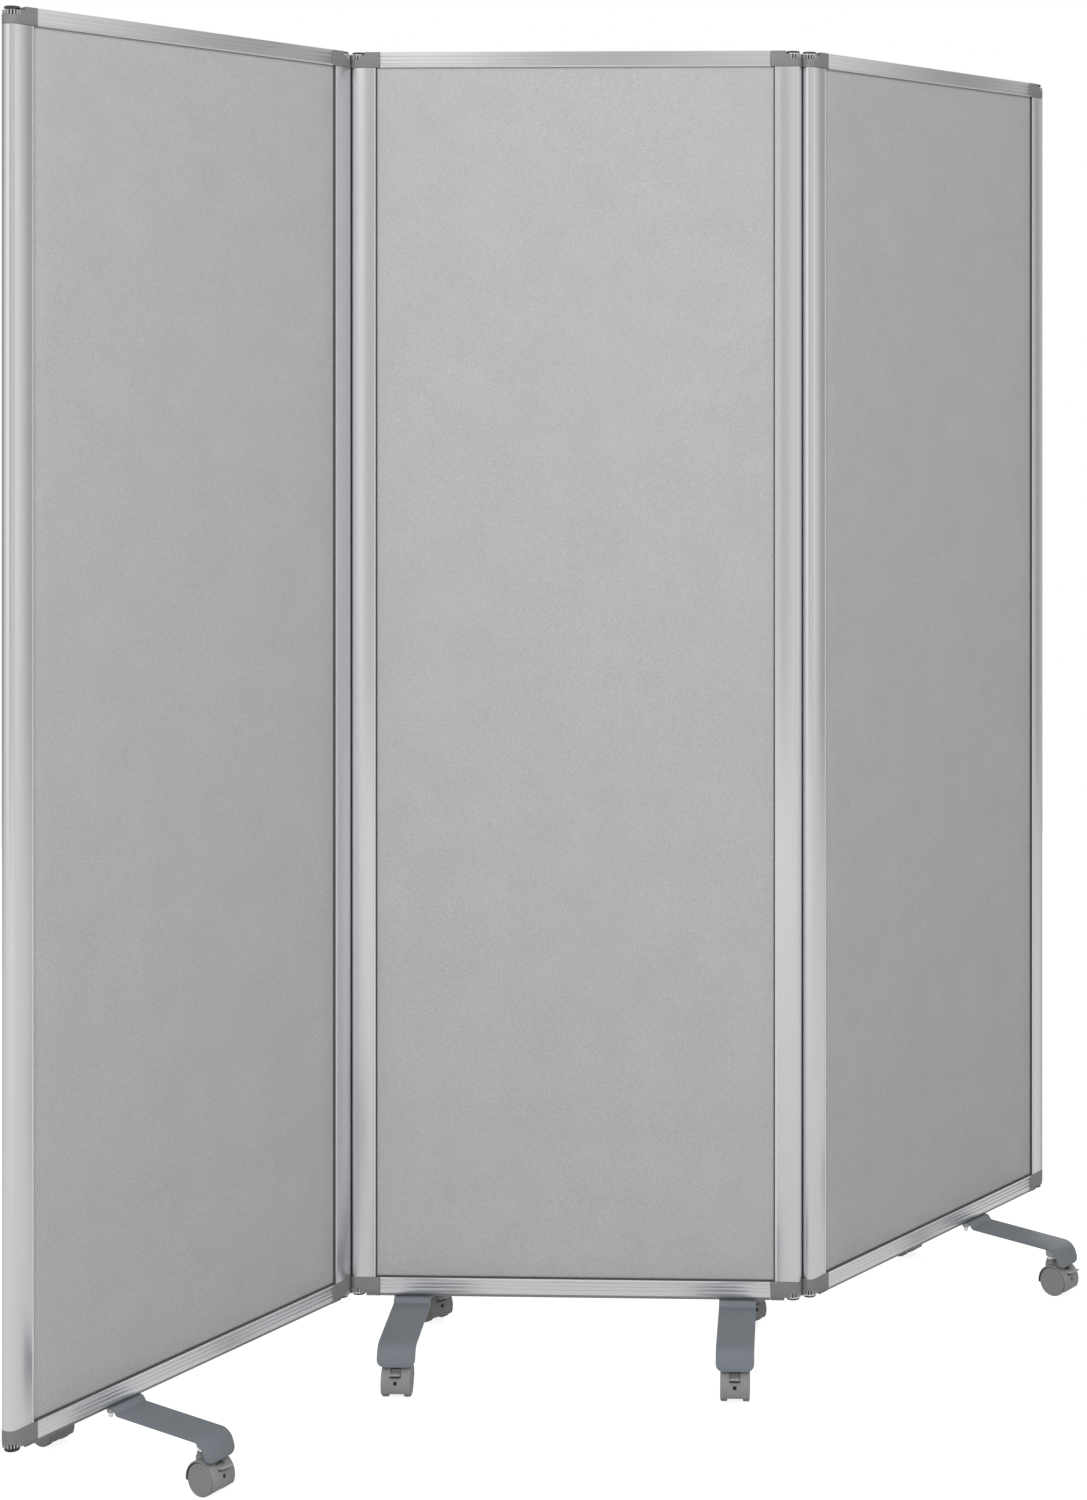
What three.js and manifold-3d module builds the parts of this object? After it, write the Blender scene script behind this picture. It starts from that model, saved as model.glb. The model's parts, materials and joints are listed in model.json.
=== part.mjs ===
// Folding privacy screen of three framed boards on swivel casters.
// Lengths are in millimetres and +Z is up. The centre panel lies along X and its front faces -Y.
// The left panel is folded to the front and the right panel to the back, as on the real screen in use.
// Every panel is built in a frame of its own, and the hinge links carry the two outer panels.

import * as THREE from 'three';
import { mergeVertices } from 'three/addons/utils/BufferGeometryUtils.js';
import Module from 'manifold-3d';

const wasm = await Module();
wasm.setup();

// Whole screen
const PANEL_WIDTH = 610;
const PANEL_HEIGHT = 1685;
const PANEL_DEPTH = 21;
const FLOOR_GAP = 80;
const LEFT_FOLD_DEGREES = 59.5;
const RIGHT_FOLD_DEGREES = 54;

// Clearances and the overrun of cuts
const SEAT_GAP = 0.3;
const RUNNING_GAP = 0.5;
const OVERRUN = 2;

// Fabric boards, which sit in channels of the frame
const BOARD_THICKNESS = 15.4;
const CHANNEL_DEPTH = 9;

// Frame profiles
const FRAME_WALL = 1.6;
const POST_FACE = 24;
const RAIL_HEIGHT = 21;
const SKIRT_HEIGHT = 4.5;
const SKIRT_SETBACK = 2.5;
const GROOVE_WIDTH = 1.2;
const GROOVE_DEPTH = 0.8;
const GROOVE_SHARES = [0.33, 0.57, 0.81];

// Corner pieces with their hinge knuckles
const CORNER_LENGTH = 30;
const CORNER_PROUD = 1;
const SPIGOT_LENGTH = 18;
const CAP_RADIUS = 9.25;
const CAP_THICKNESS = 3;
const CAP_CHAMFER = 1;
const CORE_RADIUS = 6;
const NOTCH_RADIUS = 14.5;
const RING_HEIGHT = 5.5;
const TOOTH_GAP_WIDTH = 2;
const TOOTH_GAP_DEPTH = 1.5;
const TEETH_ROUND = 14;
const TOOTH_GAPS_SHOWN = 7;

// Hinge links
const HINGE_SPACING = 25;
const LINK_THICKNESS = 1.2;
const LINK_PLAY = 0.25;
const LINK_RADIUS = 9;
const LINK_WAIST = 10;

// Feet, bent from flat steel strip
const FOOT_WIDTH = 50;
const FOOT_THICKNESS = 4;
const FOOT_REACH = 165;
const FOOT_CROWN_HALF = 12;
const FOOT_STEP_END = 17;
const FOOT_STEP = 6.5;
const FOOT_ARM_FALL = 3.5;
const FOOT_DROP = 26;
const FOOT_BEND_RADIUS = 20;
const FOOT_BEND_DEGREES = 70;
const FOOT_CORNER_RADIUS = 9;
const CENTRE_FOOT_INSET = 74.5;
const SIDE_FOOT_INSET = 412;
const SOCKET_RADIUS = 8;
const SOCKET_HEIGHT = 15;

// Twin-wheel casters
const CASTER_END_INSET = 31;
const CASTER_TRAIL = 12;
const CASTER_WIDTH = 38;
const WHEEL_RADIUS = 20;
const WHEEL_WIDTH = 8.8;
const WHEEL_CHAMFER = 1.6;
const AXLE_RADIUS = 3;
const HOOD_GAP = 1.2;
const HOOD_WALL = 1.8;
const HOOD_BACK_DEGREES = -10;
const HOOD_FRONT_DEGREES = 218;
const NECK_RADIUS = 7;
const COLLAR_RADIUS = 5.6;
const COLLAR_HEIGHT = 3.9;
const STEM_RADIUS = 4;
const STEM_ENTRY = 1.3;
const TURNED_CASTER_DEGREES = 45;

// Brake levers
const LEVER_WIDTH = 13;
const LEVER_PIVOT_FORWARD = 6;
const LEVER_PIVOT_RISE = 14;
const LEVER_BOSS_RADIUS = 2.8;
const LEVER_REACH = 22.5;
const LEVER_TIP_RISE = 4;
const LEVER_THICKNESS = 3;
const LEVER_PIN_RADIUS = 1.5;
const LEVER_PIN_ENTRY = 1.5;
const LEVER_SLOT_BELOW = 4;
const LEVER_SLOT_ABOVE = 6;
const LEVER_SLOT_BEHIND = 5;
const PEEPHOLE_SIZE = 4.6;
const PEEPHOLE_DEPTH = 9;
const PEEPHOLE_RISE = 4;

// Counts of facets. An arc in an outline has twice as many facets as its count of steps.
const HALF_ROUND_STEPS = 5;
const QUARTER_ROUND_STEPS = 2;
const HOOD_STEPS = 8;
const BEND_STEPS = 3;
const ROUND_SIDES = 16;
const SMALL_ROUND_SIDES = 8;

// Sizes that follow from the ones above
const DEGREE = Math.PI / 180;
const HALF_DEPTH = PANEL_DEPTH / 2;
const POST_SPAN = PANEL_WIDTH - PANEL_DEPTH;
const PANEL_TOP = FLOOR_GAP + PANEL_HEIGHT;
const CHANNEL_HALF = BOARD_THICKNESS / 2 + SEAT_GAP;
const CHANNEL_FLOOR = POST_FACE - CHANNEL_DEPTH;
const CORNER_HALF = HALF_DEPTH + CORNER_PROUD;
const NOTCH_HEIGHT = CAP_THICKNESS + LINK_THICKNESS + 2 * LINK_PLAY;
const FOOT_TOP = FLOOR_GAP - SEAT_GAP;
const ARM_TOP = FOOT_TOP - FOOT_STEP - FOOT_ARM_FALL;
const ARM_UNDERSIDE = ARM_TOP - FOOT_THICKNESS;
const SOCKET_BOTTOM = ARM_UNDERSIDE - SOCKET_HEIGHT;
const CASTER_OFFSET = FOOT_REACH - CASTER_END_INSET;
const POCKET_RADIUS = WHEEL_RADIUS + HOOD_GAP;
const HOOD_RADIUS = POCKET_RADIUS + HOOD_WALL;
const WEB_HALF = CASTER_WIDTH / 2 - WHEEL_WIDTH - RUNNING_GAP;
const AXLE_BORE_RADIUS = AXLE_RADIUS + SEAT_GAP;

// Finishes
function finish(color, roughness, metalness) {
  return new THREE.MeshStandardMaterial({ color, roughness, metalness });
}

const boardFabric = finish(0xaeaeac, 0.95, 0);
const aluminium = finish(0xc4c6c8, 0.35, 0.9);
const cornerPlastic = finish(0x86898a, 0.5, 0);
const linkSteel = finish(0xd0d0d0, 0.3, 1);
const footPaint = finish(0x727b84, 0.45, 0.2);
const casterPlastic = finish(0x878584, 0.5, 0);
const wheelPlastic = finish(0x7d7c7b, 0.55, 0);
const leverPlastic = finish(0x8d8a88, 0.5, 0);

// Closed solids from three.js geometries and back
function solidFrom(geometry) {
  const bare = geometry.index ? geometry.toNonIndexed() : geometry.clone();
  bare.deleteAttribute('normal');
  bare.deleteAttribute('uv');
  const merged = mergeVertices(bare);
  const corners = merged.index.array;
  const kept = [];
  for (let i = 0; i < corners.length; i += 3) {
    const [a, b, c] = [corners[i], corners[i + 1], corners[i + 2]];
    if (a !== b && b !== c && c !== a) kept.push(a, b, c);
  }
  const vertProperties = merged.attributes.position.array;
  const triVerts = new Uint32Array(kept);
  return new wasm.Manifold(new wasm.Mesh({ numProp: 3, vertProperties, triVerts }));
}

function geometryFrom(solid) {
  const mesh = solid.getMesh();
  const indexed = new THREE.BufferGeometry();
  indexed.setAttribute('position', new THREE.BufferAttribute(mesh.vertProperties, 3));
  indexed.setIndex(new THREE.BufferAttribute(mesh.triVerts, 1));
  const geometry = indexed.toNonIndexed();
  geometry.computeVertexNormals();
  return geometry;
}

// Prisms: a flat shape pulled along Z, X or Y. A shape pulled along X is drawn in (y, z),
// and one pulled along Y in (x, z).
function prism(shape, length, steps) {
  return new THREE.ExtrudeGeometry(shape, { depth: length, bevelEnabled: false, curveSegments: steps });
}

function prismZ(shape, low, high, steps = HALF_ROUND_STEPS) {
  return solidFrom(prism(shape, high - low, steps).translate(0, 0, low));
}

function prismX(shape, low, high, steps = HALF_ROUND_STEPS) {
  const toX = new THREE.Matrix4().makeBasis(
    new THREE.Vector3(0, 1, 0),
    new THREE.Vector3(0, 0, 1),
    new THREE.Vector3(1, 0, 0),
  );
  return solidFrom(prism(shape, high - low, steps).applyMatrix4(toX).translate(low, 0, 0));
}

function prismY(shape, low, high, steps = HALF_ROUND_STEPS) {
  return solidFrom(prism(shape, high - low, steps).rotateX(Math.PI / 2).translate(0, high, 0));
}

function block(x0, x1, y0, y1, z0, z1) {
  const box = new THREE.BoxGeometry(x1 - x0, y1 - y0, z1 - z0);
  return solidFrom(box.translate((x0 + x1) / 2, (y0 + y1) / 2, (z0 + z1) / 2));
}

function rodZ(radius, y, z0, z1, sides = ROUND_SIDES) {
  const rod = new THREE.CylinderGeometry(radius, radius, z1 - z0, sides).rotateX(Math.PI / 2);
  return solidFrom(rod.translate(0, y, (z0 + z1) / 2));
}

function rodX(radius, half, y, z, sides = ROUND_SIDES) {
  const rod = new THREE.CylinderGeometry(radius, radius, 2 * half, sides).rotateZ(Math.PI / 2);
  return solidFrom(rod.translate(0, y, z));
}

function polygon(points) {
  return new THREE.Shape(points.map(([u, v]) => new THREE.Vector2(u, v)));
}

function mirrored(points) {
  return points.map(([u, v]) => [-u, v]).reverse();
}

function turned(profile, sides, start = 0) {
  const points = profile.map(([radius, height]) => new THREE.Vector2(radius, height));
  return new THREE.LatheGeometry(points, sides, start, 2 * Math.PI);
}

// Outline with a half round end about the origin and a flat end at x = face
function halfRound(radius, face) {
  const shape = new THREE.Shape();
  shape.absarc(0, 0, radius, Math.PI / 2, 1.5 * Math.PI, false);
  shape.lineTo(face, -radius);
  shape.lineTo(face, radius);
  shape.closePath();
  return shape;
}

// Vertical post: half round outside, a channel for the board inside, and a hollow for the spigots
const POST_BORE_RADIUS = HALF_DEPTH - FRAME_WALL;
const POST_BORE_FACE = CHANNEL_FLOOR - FRAME_WALL;

function postSolid(low, high) {
  const shape = new THREE.Shape();
  shape.absarc(0, 0, HALF_DEPTH, Math.PI / 2, 1.5 * Math.PI, false);
  shape.lineTo(POST_FACE, -HALF_DEPTH);
  shape.lineTo(POST_FACE, -CHANNEL_HALF);
  shape.lineTo(CHANNEL_FLOOR, -CHANNEL_HALF);
  shape.lineTo(CHANNEL_FLOOR, CHANNEL_HALF);
  shape.lineTo(POST_FACE, CHANNEL_HALF);
  shape.lineTo(POST_FACE, HALF_DEPTH);
  shape.closePath();
  shape.holes.push(halfRound(POST_BORE_RADIUS, POST_BORE_FACE));
  return prismZ(shape, low, high);
}

// Rail profile in (y, z), with its outer edge at z = 0 and the board's channel on top.
// The bottom rail stands on a narrower skirt.
const RAIL_BORE_HALF = HALF_DEPTH - GROOVE_DEPTH - FRAME_WALL;

function railBore(skirt) {
  return { low: skirt + FRAME_WALL, high: skirt + RAIL_HEIGHT - CHANNEL_DEPTH - FRAME_WALL };
}

function railSolid(skirt) {
  const top = skirt + RAIL_HEIGHT;
  const side = [];
  if (skirt > 0) {
    side.push([HALF_DEPTH - SKIRT_SETBACK, 0]);
    side.push([HALF_DEPTH - SKIRT_SETBACK, skirt]);
  }
  side.push([HALF_DEPTH, skirt]);
  for (const share of GROOVE_SHARES) {
    const middle = skirt + share * RAIL_HEIGHT;
    side.push([HALF_DEPTH, middle - GROOVE_WIDTH / 2]);
    side.push([HALF_DEPTH - GROOVE_DEPTH, middle - GROOVE_WIDTH / 2]);
    side.push([HALF_DEPTH - GROOVE_DEPTH, middle + GROOVE_WIDTH / 2]);
    side.push([HALF_DEPTH, middle + GROOVE_WIDTH / 2]);
  }
  side.push([HALF_DEPTH, top]);
  side.push([CHANNEL_HALF, top]);
  side.push([CHANNEL_HALF, top - CHANNEL_DEPTH]);
  const shape = polygon([...side, ...mirrored(side)]);
  const bore = railBore(skirt);
  shape.holes.push(polygon([
    [-RAIL_BORE_HALF, bore.low],
    [RAIL_BORE_HALF, bore.low],
    [RAIL_BORE_HALF, bore.high],
    [-RAIL_BORE_HALF, bore.high],
  ]));
  return prismX(shape, CORNER_LENGTH + SEAT_GAP, POST_SPAN - CORNER_LENGTH - SEAT_GAP);
}

// Corner piece. Its end face is at z = 0, its post stands up from it and its rail runs to +X.
// The knuckle is a core with a round cap at the end face, and a toothed ring behind them.
function toothGap(index) {
  const turn = Math.PI + (index - (TOOTH_GAPS_SHOWN - 1) / 2) * (2 * Math.PI / TEETH_ROUND);
  const inner = CORNER_HALF - TOOTH_GAP_DEPTH;
  const gap = new THREE.BoxGeometry(TOOTH_GAP_DEPTH + OVERRUN, TOOTH_GAP_WIDTH, RING_HEIGHT + OVERRUN);
  gap.translate(inner + (TOOTH_GAP_DEPTH + OVERRUN) / 2, 0, NOTCH_HEIGHT + (RING_HEIGHT - OVERRUN) / 2);
  return solidFrom(gap.rotateZ(turn));
}

function cornerSolid(skirt) {
  const height = skirt + RAIL_HEIGHT;
  const far = CORNER_LENGTH + OVERRUN;
  const wide = CORNER_HALF + OVERRUN;
  let solid = prismZ(halfRound(CORNER_HALF, CORNER_LENGTH), 0, height);
  const boardCorner = block(
    CHANNEL_FLOOR, far, -CHANNEL_HALF, CHANNEL_HALF, height - CHANNEL_DEPTH, height + OVERRUN,
  );
  solid = solid.subtract(boardCorner);
  if (skirt > 0) {
    const edge = CORNER_HALF - SKIRT_SETBACK;
    solid = solid.subtract(block(-wide, far, edge, wide, -OVERRUN, skirt));
    solid = solid.subtract(block(-wide, far, -wide, -edge, -OVERRUN, skirt));
  }
  solid = solid.subtract(rodZ(NOTCH_RADIUS, 0, -OVERRUN, NOTCH_HEIGHT));
  const knuckle = turned([
    [0, 0],
    [CAP_RADIUS - CAP_CHAMFER, 0],
    [CAP_RADIUS, CAP_CHAMFER],
    [CAP_RADIUS, CAP_THICKNESS],
    [CORE_RADIUS, CAP_THICKNESS],
    [CORE_RADIUS, NOTCH_HEIGHT + OVERRUN],
    [0, NOTCH_HEIGHT + OVERRUN],
  ], ROUND_SIDES).rotateX(Math.PI / 2);
  solid = solid.add(solidFrom(knuckle));
  for (let i = 0; i < TOOTH_GAPS_SHOWN; i += 1) {
    solid = solid.subtract(toothGap(i));
  }
  const postSpigot = halfRound(POST_BORE_RADIUS - SEAT_GAP, POST_BORE_FACE - SEAT_GAP);
  solid = solid.add(prismZ(postSpigot, height - OVERRUN, height + SPIGOT_LENGTH));
  const bore = railBore(skirt);
  const halfSpigot = RAIL_BORE_HALF - SEAT_GAP;
  return solid.add(block(
    CORNER_LENGTH - OVERRUN, CORNER_LENGTH + SPIGOT_LENGTH, -halfSpigot, halfSpigot,
    bore.low + SEAT_GAP, bore.high - SEAT_GAP,
  ));
}

// Hinge link: a thin plate with an eye for each knuckle, lying from the origin to +X
function linkSolid() {
  const waist = Math.asin(LINK_WAIST / 2 / LINK_RADIUS);
  const shape = new THREE.Shape();
  shape.absarc(0, 0, LINK_RADIUS, waist, 2 * Math.PI - waist, false);
  shape.absarc(HINGE_SPACING, 0, LINK_RADIUS, Math.PI + waist, 3 * Math.PI - waist, false);
  shape.closePath();
  for (const x of [0, HINGE_SPACING]) {
    const eye = new THREE.Path();
    eye.absarc(x, 0, CORE_RADIUS + SEAT_GAP, 0, 2 * Math.PI, true);
    shape.holes.push(eye);
  }
  return prismZ(shape, 0, LINK_THICKNESS);
}

// Foot: steel strip with a raised crown under the rail, falling arms and bent-down ends
function footEdge() {
  const bendCentre = ARM_TOP - FOOT_BEND_RADIUS;
  const bend = FOOT_BEND_DEGREES * DEGREE;
  const apronEnd = ARM_TOP - FOOT_DROP;
  const bendEnd = bendCentre + FOOT_BEND_RADIUS * Math.cos(bend);
  const apronRun = (bendEnd - apronEnd) / Math.tan(bend);
  const bendStart = FOOT_REACH - apronRun - FOOT_BEND_RADIUS * Math.sin(bend);
  const edge = [[FOOT_CROWN_HALF, FOOT_TOP], [FOOT_STEP_END, FOOT_TOP - FOOT_STEP]];
  for (let i = 0; i <= BEND_STEPS; i += 1) {
    const turn = bend * i / BEND_STEPS;
    const out = bendStart + FOOT_BEND_RADIUS * Math.sin(turn);
    edge.push([out, bendCentre + FOOT_BEND_RADIUS * Math.cos(turn)]);
  }
  edge.push([FOOT_REACH, apronEnd]);
  return [...mirrored(edge), ...edge];
}

// The same edge moved square to itself by a distance, to its right
function offsetEdge(edge, distance) {
  return edge.map(([u, v], i) => {
    const [before, after] = [edge[Math.max(i - 1, 0)], edge[Math.min(i + 1, edge.length - 1)]];
    const along = [[u - before[0], v - before[1]], [after[0] - u, after[1] - v]];
    const sides = along.filter(([a, b]) => Math.hypot(a, b) > 0);
    const normals = sides.map(([a, b]) => [b / Math.hypot(a, b), -a / Math.hypot(a, b)]);
    const [first, last] = [normals[0], normals[normals.length - 1]];
    const spread = 1 + first[0] * last[0] + first[1] * last[1];
    const shift = distance / spread;
    return [u + shift * (first[0] + last[0]), v + shift * (first[1] + last[1])];
  });
}

function footSolid() {
  const edge = footEdge();
  const strip = polygon([...edge, ...offsetEdge(edge, FOOT_THICKNESS).reverse()]);
  let solid = prismX(strip, -FOOT_WIDTH / 2, FOOT_WIDTH / 2);
  const [half, low, round] = [FOOT_WIDTH / 2, ARM_TOP - FOOT_DROP, FOOT_CORNER_RADIUS];
  const front = new THREE.Shape();
  front.moveTo(-half, FOOT_TOP + OVERRUN);
  front.lineTo(-half, low + round);
  front.absarc(-half + round, low + round, round, Math.PI, 1.5 * Math.PI, false);
  front.absarc(half - round, low + round, round, 1.5 * Math.PI, 2 * Math.PI, false);
  front.lineTo(half, FOOT_TOP + OVERRUN);
  front.closePath();
  const reach = FOOT_REACH + OVERRUN;
  solid = solid.intersect(prismY(front, -reach, reach, QUARTER_ROUND_STEPS));
  for (const y of [-CASTER_OFFSET, CASTER_OFFSET]) {
    solid = solid.add(rodZ(SOCKET_RADIUS, y, SOCKET_BOTTOM, ARM_TOP - FOOT_THICKNESS / 2));
    const boreTop = ARM_UNDERSIDE + STEM_ENTRY + SEAT_GAP;
    const bore = STEM_RADIUS + SEAT_GAP;
    solid = solid.subtract(rodZ(bore, y, SOCKET_BOTTOM - OVERRUN, boreTop, SMALL_ROUND_SIDES));
  }
  return solid;
}

// Caster housing, with the stem on the z axis and the floor at z = 0. The wheels trail towards -Y.
const LEVER_PIVOT = { y: -CASTER_TRAIL - LEVER_PIVOT_FORWARD, z: WHEEL_RADIUS + LEVER_PIVOT_RISE };

function hoodOutline(radius) {
  const [start, end] = [HOOD_BACK_DEGREES * DEGREE, HOOD_FRONT_DEGREES * DEGREE];
  const shape = new THREE.Shape();
  shape.absarc(-CASTER_TRAIL, WHEEL_RADIUS, radius, start, end, false);
  shape.closePath();
  return shape;
}

function leverSlot() {
  const half = LEVER_WIDTH / 2 + RUNNING_GAP;
  const front = -CASTER_TRAIL - HOOD_RADIUS - OVERRUN;
  const { y, z } = LEVER_PIVOT;
  return block(-half, half, front, y + LEVER_SLOT_BEHIND, z - LEVER_SLOT_BELOW, z + LEVER_SLOT_ABOVE);
}

function housingSolid() {
  const half = CASTER_WIDTH / 2;
  let solid = prismX(hoodOutline(HOOD_RADIUS), -half, half, HOOD_STEPS);
  const pocketMiddle = (WEB_HALF + half + OVERRUN) / 2;
  const pocketHalf = (half + OVERRUN - WEB_HALF) / 2;
  for (const side of [-1, 1]) {
    const pocket = rodX(POCKET_RADIUS, pocketHalf, -CASTER_TRAIL, WHEEL_RADIUS);
    solid = solid.subtract(pocket.translate([side * pocketMiddle, 0, 0]));
  }
  const neckTop = SOCKET_BOTTOM - SEAT_GAP - COLLAR_HEIGHT;
  const collarTop = SOCKET_BOTTOM - SEAT_GAP;
  solid = solid.add(rodZ(NECK_RADIUS, 0, WHEEL_RADIUS + POCKET_RADIUS / 2, neckTop));
  solid = solid.add(rodZ(COLLAR_RADIUS, 0, neckTop - OVERRUN, collarTop, SMALL_ROUND_SIDES));
  solid = solid.add(rodZ(STEM_RADIUS, 0, neckTop, ARM_UNDERSIDE + STEM_ENTRY, SMALL_ROUND_SIDES));
  solid = solid.subtract(rodX(AXLE_BORE_RADIUS, half, -CASTER_TRAIL, WHEEL_RADIUS, SMALL_ROUND_SIDES));
  solid = solid.subtract(leverSlot());
  const pinHalf = LEVER_WIDTH / 2 + RUNNING_GAP + LEVER_PIN_ENTRY;
  const pinBore = LEVER_PIN_RADIUS + SEAT_GAP;
  solid = solid.subtract(rodX(pinBore, pinHalf, LEVER_PIVOT.y, LEVER_PIVOT.z, SMALL_ROUND_SIDES));
  const front = -CASTER_TRAIL - HOOD_RADIUS;
  const middle = WHEEL_RADIUS + PEEPHOLE_RISE;
  const peep = PEEPHOLE_SIZE / 2;
  return solid.subtract(block(
    -peep, peep, front - OVERRUN, front + PEEPHOLE_DEPTH, middle - peep, middle + peep,
  ));
}

// The two wheels and their axle, about the x axis, with a flat facet at the bottom
function wheelsSolid() {
  const outer = CASTER_WIDTH / 2;
  const inner = outer - WHEEL_WIDTH;
  const rim = WHEEL_RADIUS / Math.cos(Math.PI / ROUND_SIDES);
  const half = [
    [AXLE_RADIUS, inner],
    [rim, inner],
    [rim, outer - WHEEL_CHAMFER],
    [rim - WHEEL_CHAMFER, outer],
    [0, outer],
  ];
  const profile = [...half.map(([radius, x]) => [radius, -x]).reverse(), ...half];
  const wheels = turned(profile, ROUND_SIDES, Math.PI / ROUND_SIDES);
  return solidFrom(wheels.rotateZ(-Math.PI / 2));
}

// Brake lever about its pivot pin, which lies on the x axis, with its tab towards -Y
function leverSolid() {
  const tip = -LEVER_REACH;
  const half = LEVER_THICKNESS / 2;
  const tab = new THREE.Shape();
  tab.moveTo(0, half);
  tab.lineTo(0, -half);
  tab.lineTo(tip / 2, -half);
  tab.quadraticCurveTo(tip + LEVER_THICKNESS, LEVER_TIP_RISE / 2 - half, tip, LEVER_TIP_RISE);
  tab.quadraticCurveTo(tip + LEVER_THICKNESS, LEVER_TIP_RISE + half / 2, tip / 2, half);
  tab.closePath();
  let solid = prismX(tab, -LEVER_WIDTH / 2, LEVER_WIDTH / 2, BEND_STEPS);
  solid = solid.add(rodX(LEVER_BOSS_RADIUS, LEVER_WIDTH / 2, 0, 0, SMALL_ROUND_SIDES));
  const pinHalf = LEVER_WIDTH / 2 + RUNNING_GAP + LEVER_PIN_ENTRY - SEAT_GAP;
  return solid.add(rodX(LEVER_PIN_RADIUS, pinHalf, 0, 0, SMALL_ROUND_SIDES));
}

// Pieces that repeat share one geometry each
const bottomHeight = SKIRT_HEIGHT + RAIL_HEIGHT;
const postLow = FLOOR_GAP + bottomHeight + SEAT_GAP;
const postHigh = PANEL_TOP - RAIL_HEIGHT - SEAT_GAP;
const shapes = {
  post: geometryFrom(postSolid(postLow, postHigh)),
  topRail: geometryFrom(railSolid(0)),
  bottomRail: geometryFrom(railSolid(SKIRT_HEIGHT)),
  topCorner: geometryFrom(cornerSolid(0)),
  bottomCorner: geometryFrom(cornerSolid(SKIRT_HEIGHT)),
  board: geometryFrom(block(
    CHANNEL_FLOOR + SEAT_GAP, POST_SPAN - CHANNEL_FLOOR - SEAT_GAP,
    -BOARD_THICKNESS / 2, BOARD_THICKNESS / 2,
    FLOOR_GAP + bottomHeight - CHANNEL_DEPTH + SEAT_GAP,
    PANEL_TOP - RAIL_HEIGHT + CHANNEL_DEPTH - SEAT_GAP,
  )),
  link: geometryFrom(linkSolid()),
  foot: geometryFrom(footSolid()),
  housing: geometryFrom(housingSolid()),
  wheels: geometryFrom(wheelsSolid()),
  lever: geometryFrom(leverSolid()),
};

function addPiece(parent, name, geometry, material, at = [0, 0, 0], turn = [0, 0, 0]) {
  const piece = new THREE.Mesh(geometry, material);
  piece.name = name;
  piece.position.set(...at);
  piece.rotation.set(...turn);
  parent.add(piece);
}

function addGroup(parent, at, turn) {
  const group = new THREE.Group();
  group.position.set(...at);
  group.rotation.set(0, 0, turn);
  parent.add(group);
  return group;
}

// A caster below a foot: housing, wheels and brake lever
function addCaster(parent, name, y, turn) {
  const caster = addGroup(parent, [0, y, 0], turn);
  addPiece(caster, `${name}_housing`, shapes.housing, casterPlastic);
  addPiece(caster, `${name}_wheels`, shapes.wheels, wheelPlastic, [0, -CASTER_TRAIL, WHEEL_RADIUS]);
  const pivot = [0, LEVER_PIVOT.y, LEVER_PIVOT.z];
  addPiece(caster, `${name}_brake_lever`, shapes.lever, leverPlastic, pivot);
}

function addFoot(panel, name, x, rearTurn) {
  const foot = addGroup(panel, [x, 0, 0], 0);
  addPiece(foot, name, shapes.foot, footPaint);
  addCaster(foot, `${name}_front_caster`, -CASTER_OFFSET, 0);
  addCaster(foot, `${name}_rear_caster`, CASTER_OFFSET, rearTurn);
}

// A panel from its left post at x = 0 of the group to its right post. The two names of ends
// say which post is which.
function addPanel(group, name, ends) {
  addPiece(group, `${name}_board`, shapes.board, boardFabric);
  addPiece(group, `${name}_top_rail`, shapes.topRail, aluminium, [0, 0, PANEL_TOP], [Math.PI, 0, 0]);
  addPiece(group, `${name}_bottom_rail`, shapes.bottomRail, aluminium, [0, 0, FLOOR_GAP]);
  ends.forEach((end, i) => {
    const x = i * POST_SPAN;
    const turn = i * Math.PI;
    addPiece(group, `${name}_${end}_post`, shapes.post, aluminium, [x, 0, 0], [0, 0, turn]);
    const [low, high] = [`${name}_${end}_bottom_corner`, `${name}_${end}_top_corner`];
    addPiece(group, low, shapes.bottomCorner, cornerPlastic, [x, 0, FLOOR_GAP], [0, 0, turn]);
    addPiece(group, high, shapes.topCorner, cornerPlastic, [x, 0, PANEL_TOP], [Math.PI, 0, turn]);
  });
}

// A hinge's two links, low and high in the gaps between the knuckles' caps and rings
function addLinks(group, name, turn) {
  const low = FLOOR_GAP + CAP_THICKNESS + LINK_PLAY;
  const high = PANEL_TOP - CAP_THICKNESS - LINK_PLAY - LINK_THICKNESS;
  addPiece(group, `${name}_bottom_link`, shapes.link, linkSteel, [0, 0, low], [0, 0, turn]);
  addPiece(group, `${name}_top_link`, shapes.link, linkSteel, [0, 0, high], [0, 0, turn]);
}

const screen = new THREE.Group();
const leftTurn = LEFT_FOLD_DEGREES * DEGREE / 2;
const rightTurn = RIGHT_FOLD_DEGREES * DEGREE / 2;
const turnedCaster = TURNED_CASTER_DEGREES * DEGREE;

const centrePanel = addGroup(screen, [-POST_SPAN / 2, 0, 0], 0);
addPanel(centrePanel, 'centre', ['left', 'right']);
addFoot(centrePanel, 'centre_left_foot', CENTRE_FOOT_INSET, turnedCaster);
addFoot(centrePanel, 'centre_right_foot', POST_SPAN - CENTRE_FOOT_INSET, turnedCaster);

const leftHinge = addGroup(screen, [-POST_SPAN / 2, 0, 0], leftTurn);
addLinks(leftHinge, 'left_hinge', Math.PI);
const leftAxis = addGroup(leftHinge, [-HINGE_SPACING, 0, 0], leftTurn);
const leftPanel = addGroup(leftAxis, [-POST_SPAN, 0, 0], 0);
addPanel(leftPanel, 'left', ['outer', 'inner']);
addFoot(leftPanel, 'left_foot', POST_SPAN - SIDE_FOOT_INSET, 0);

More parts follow.
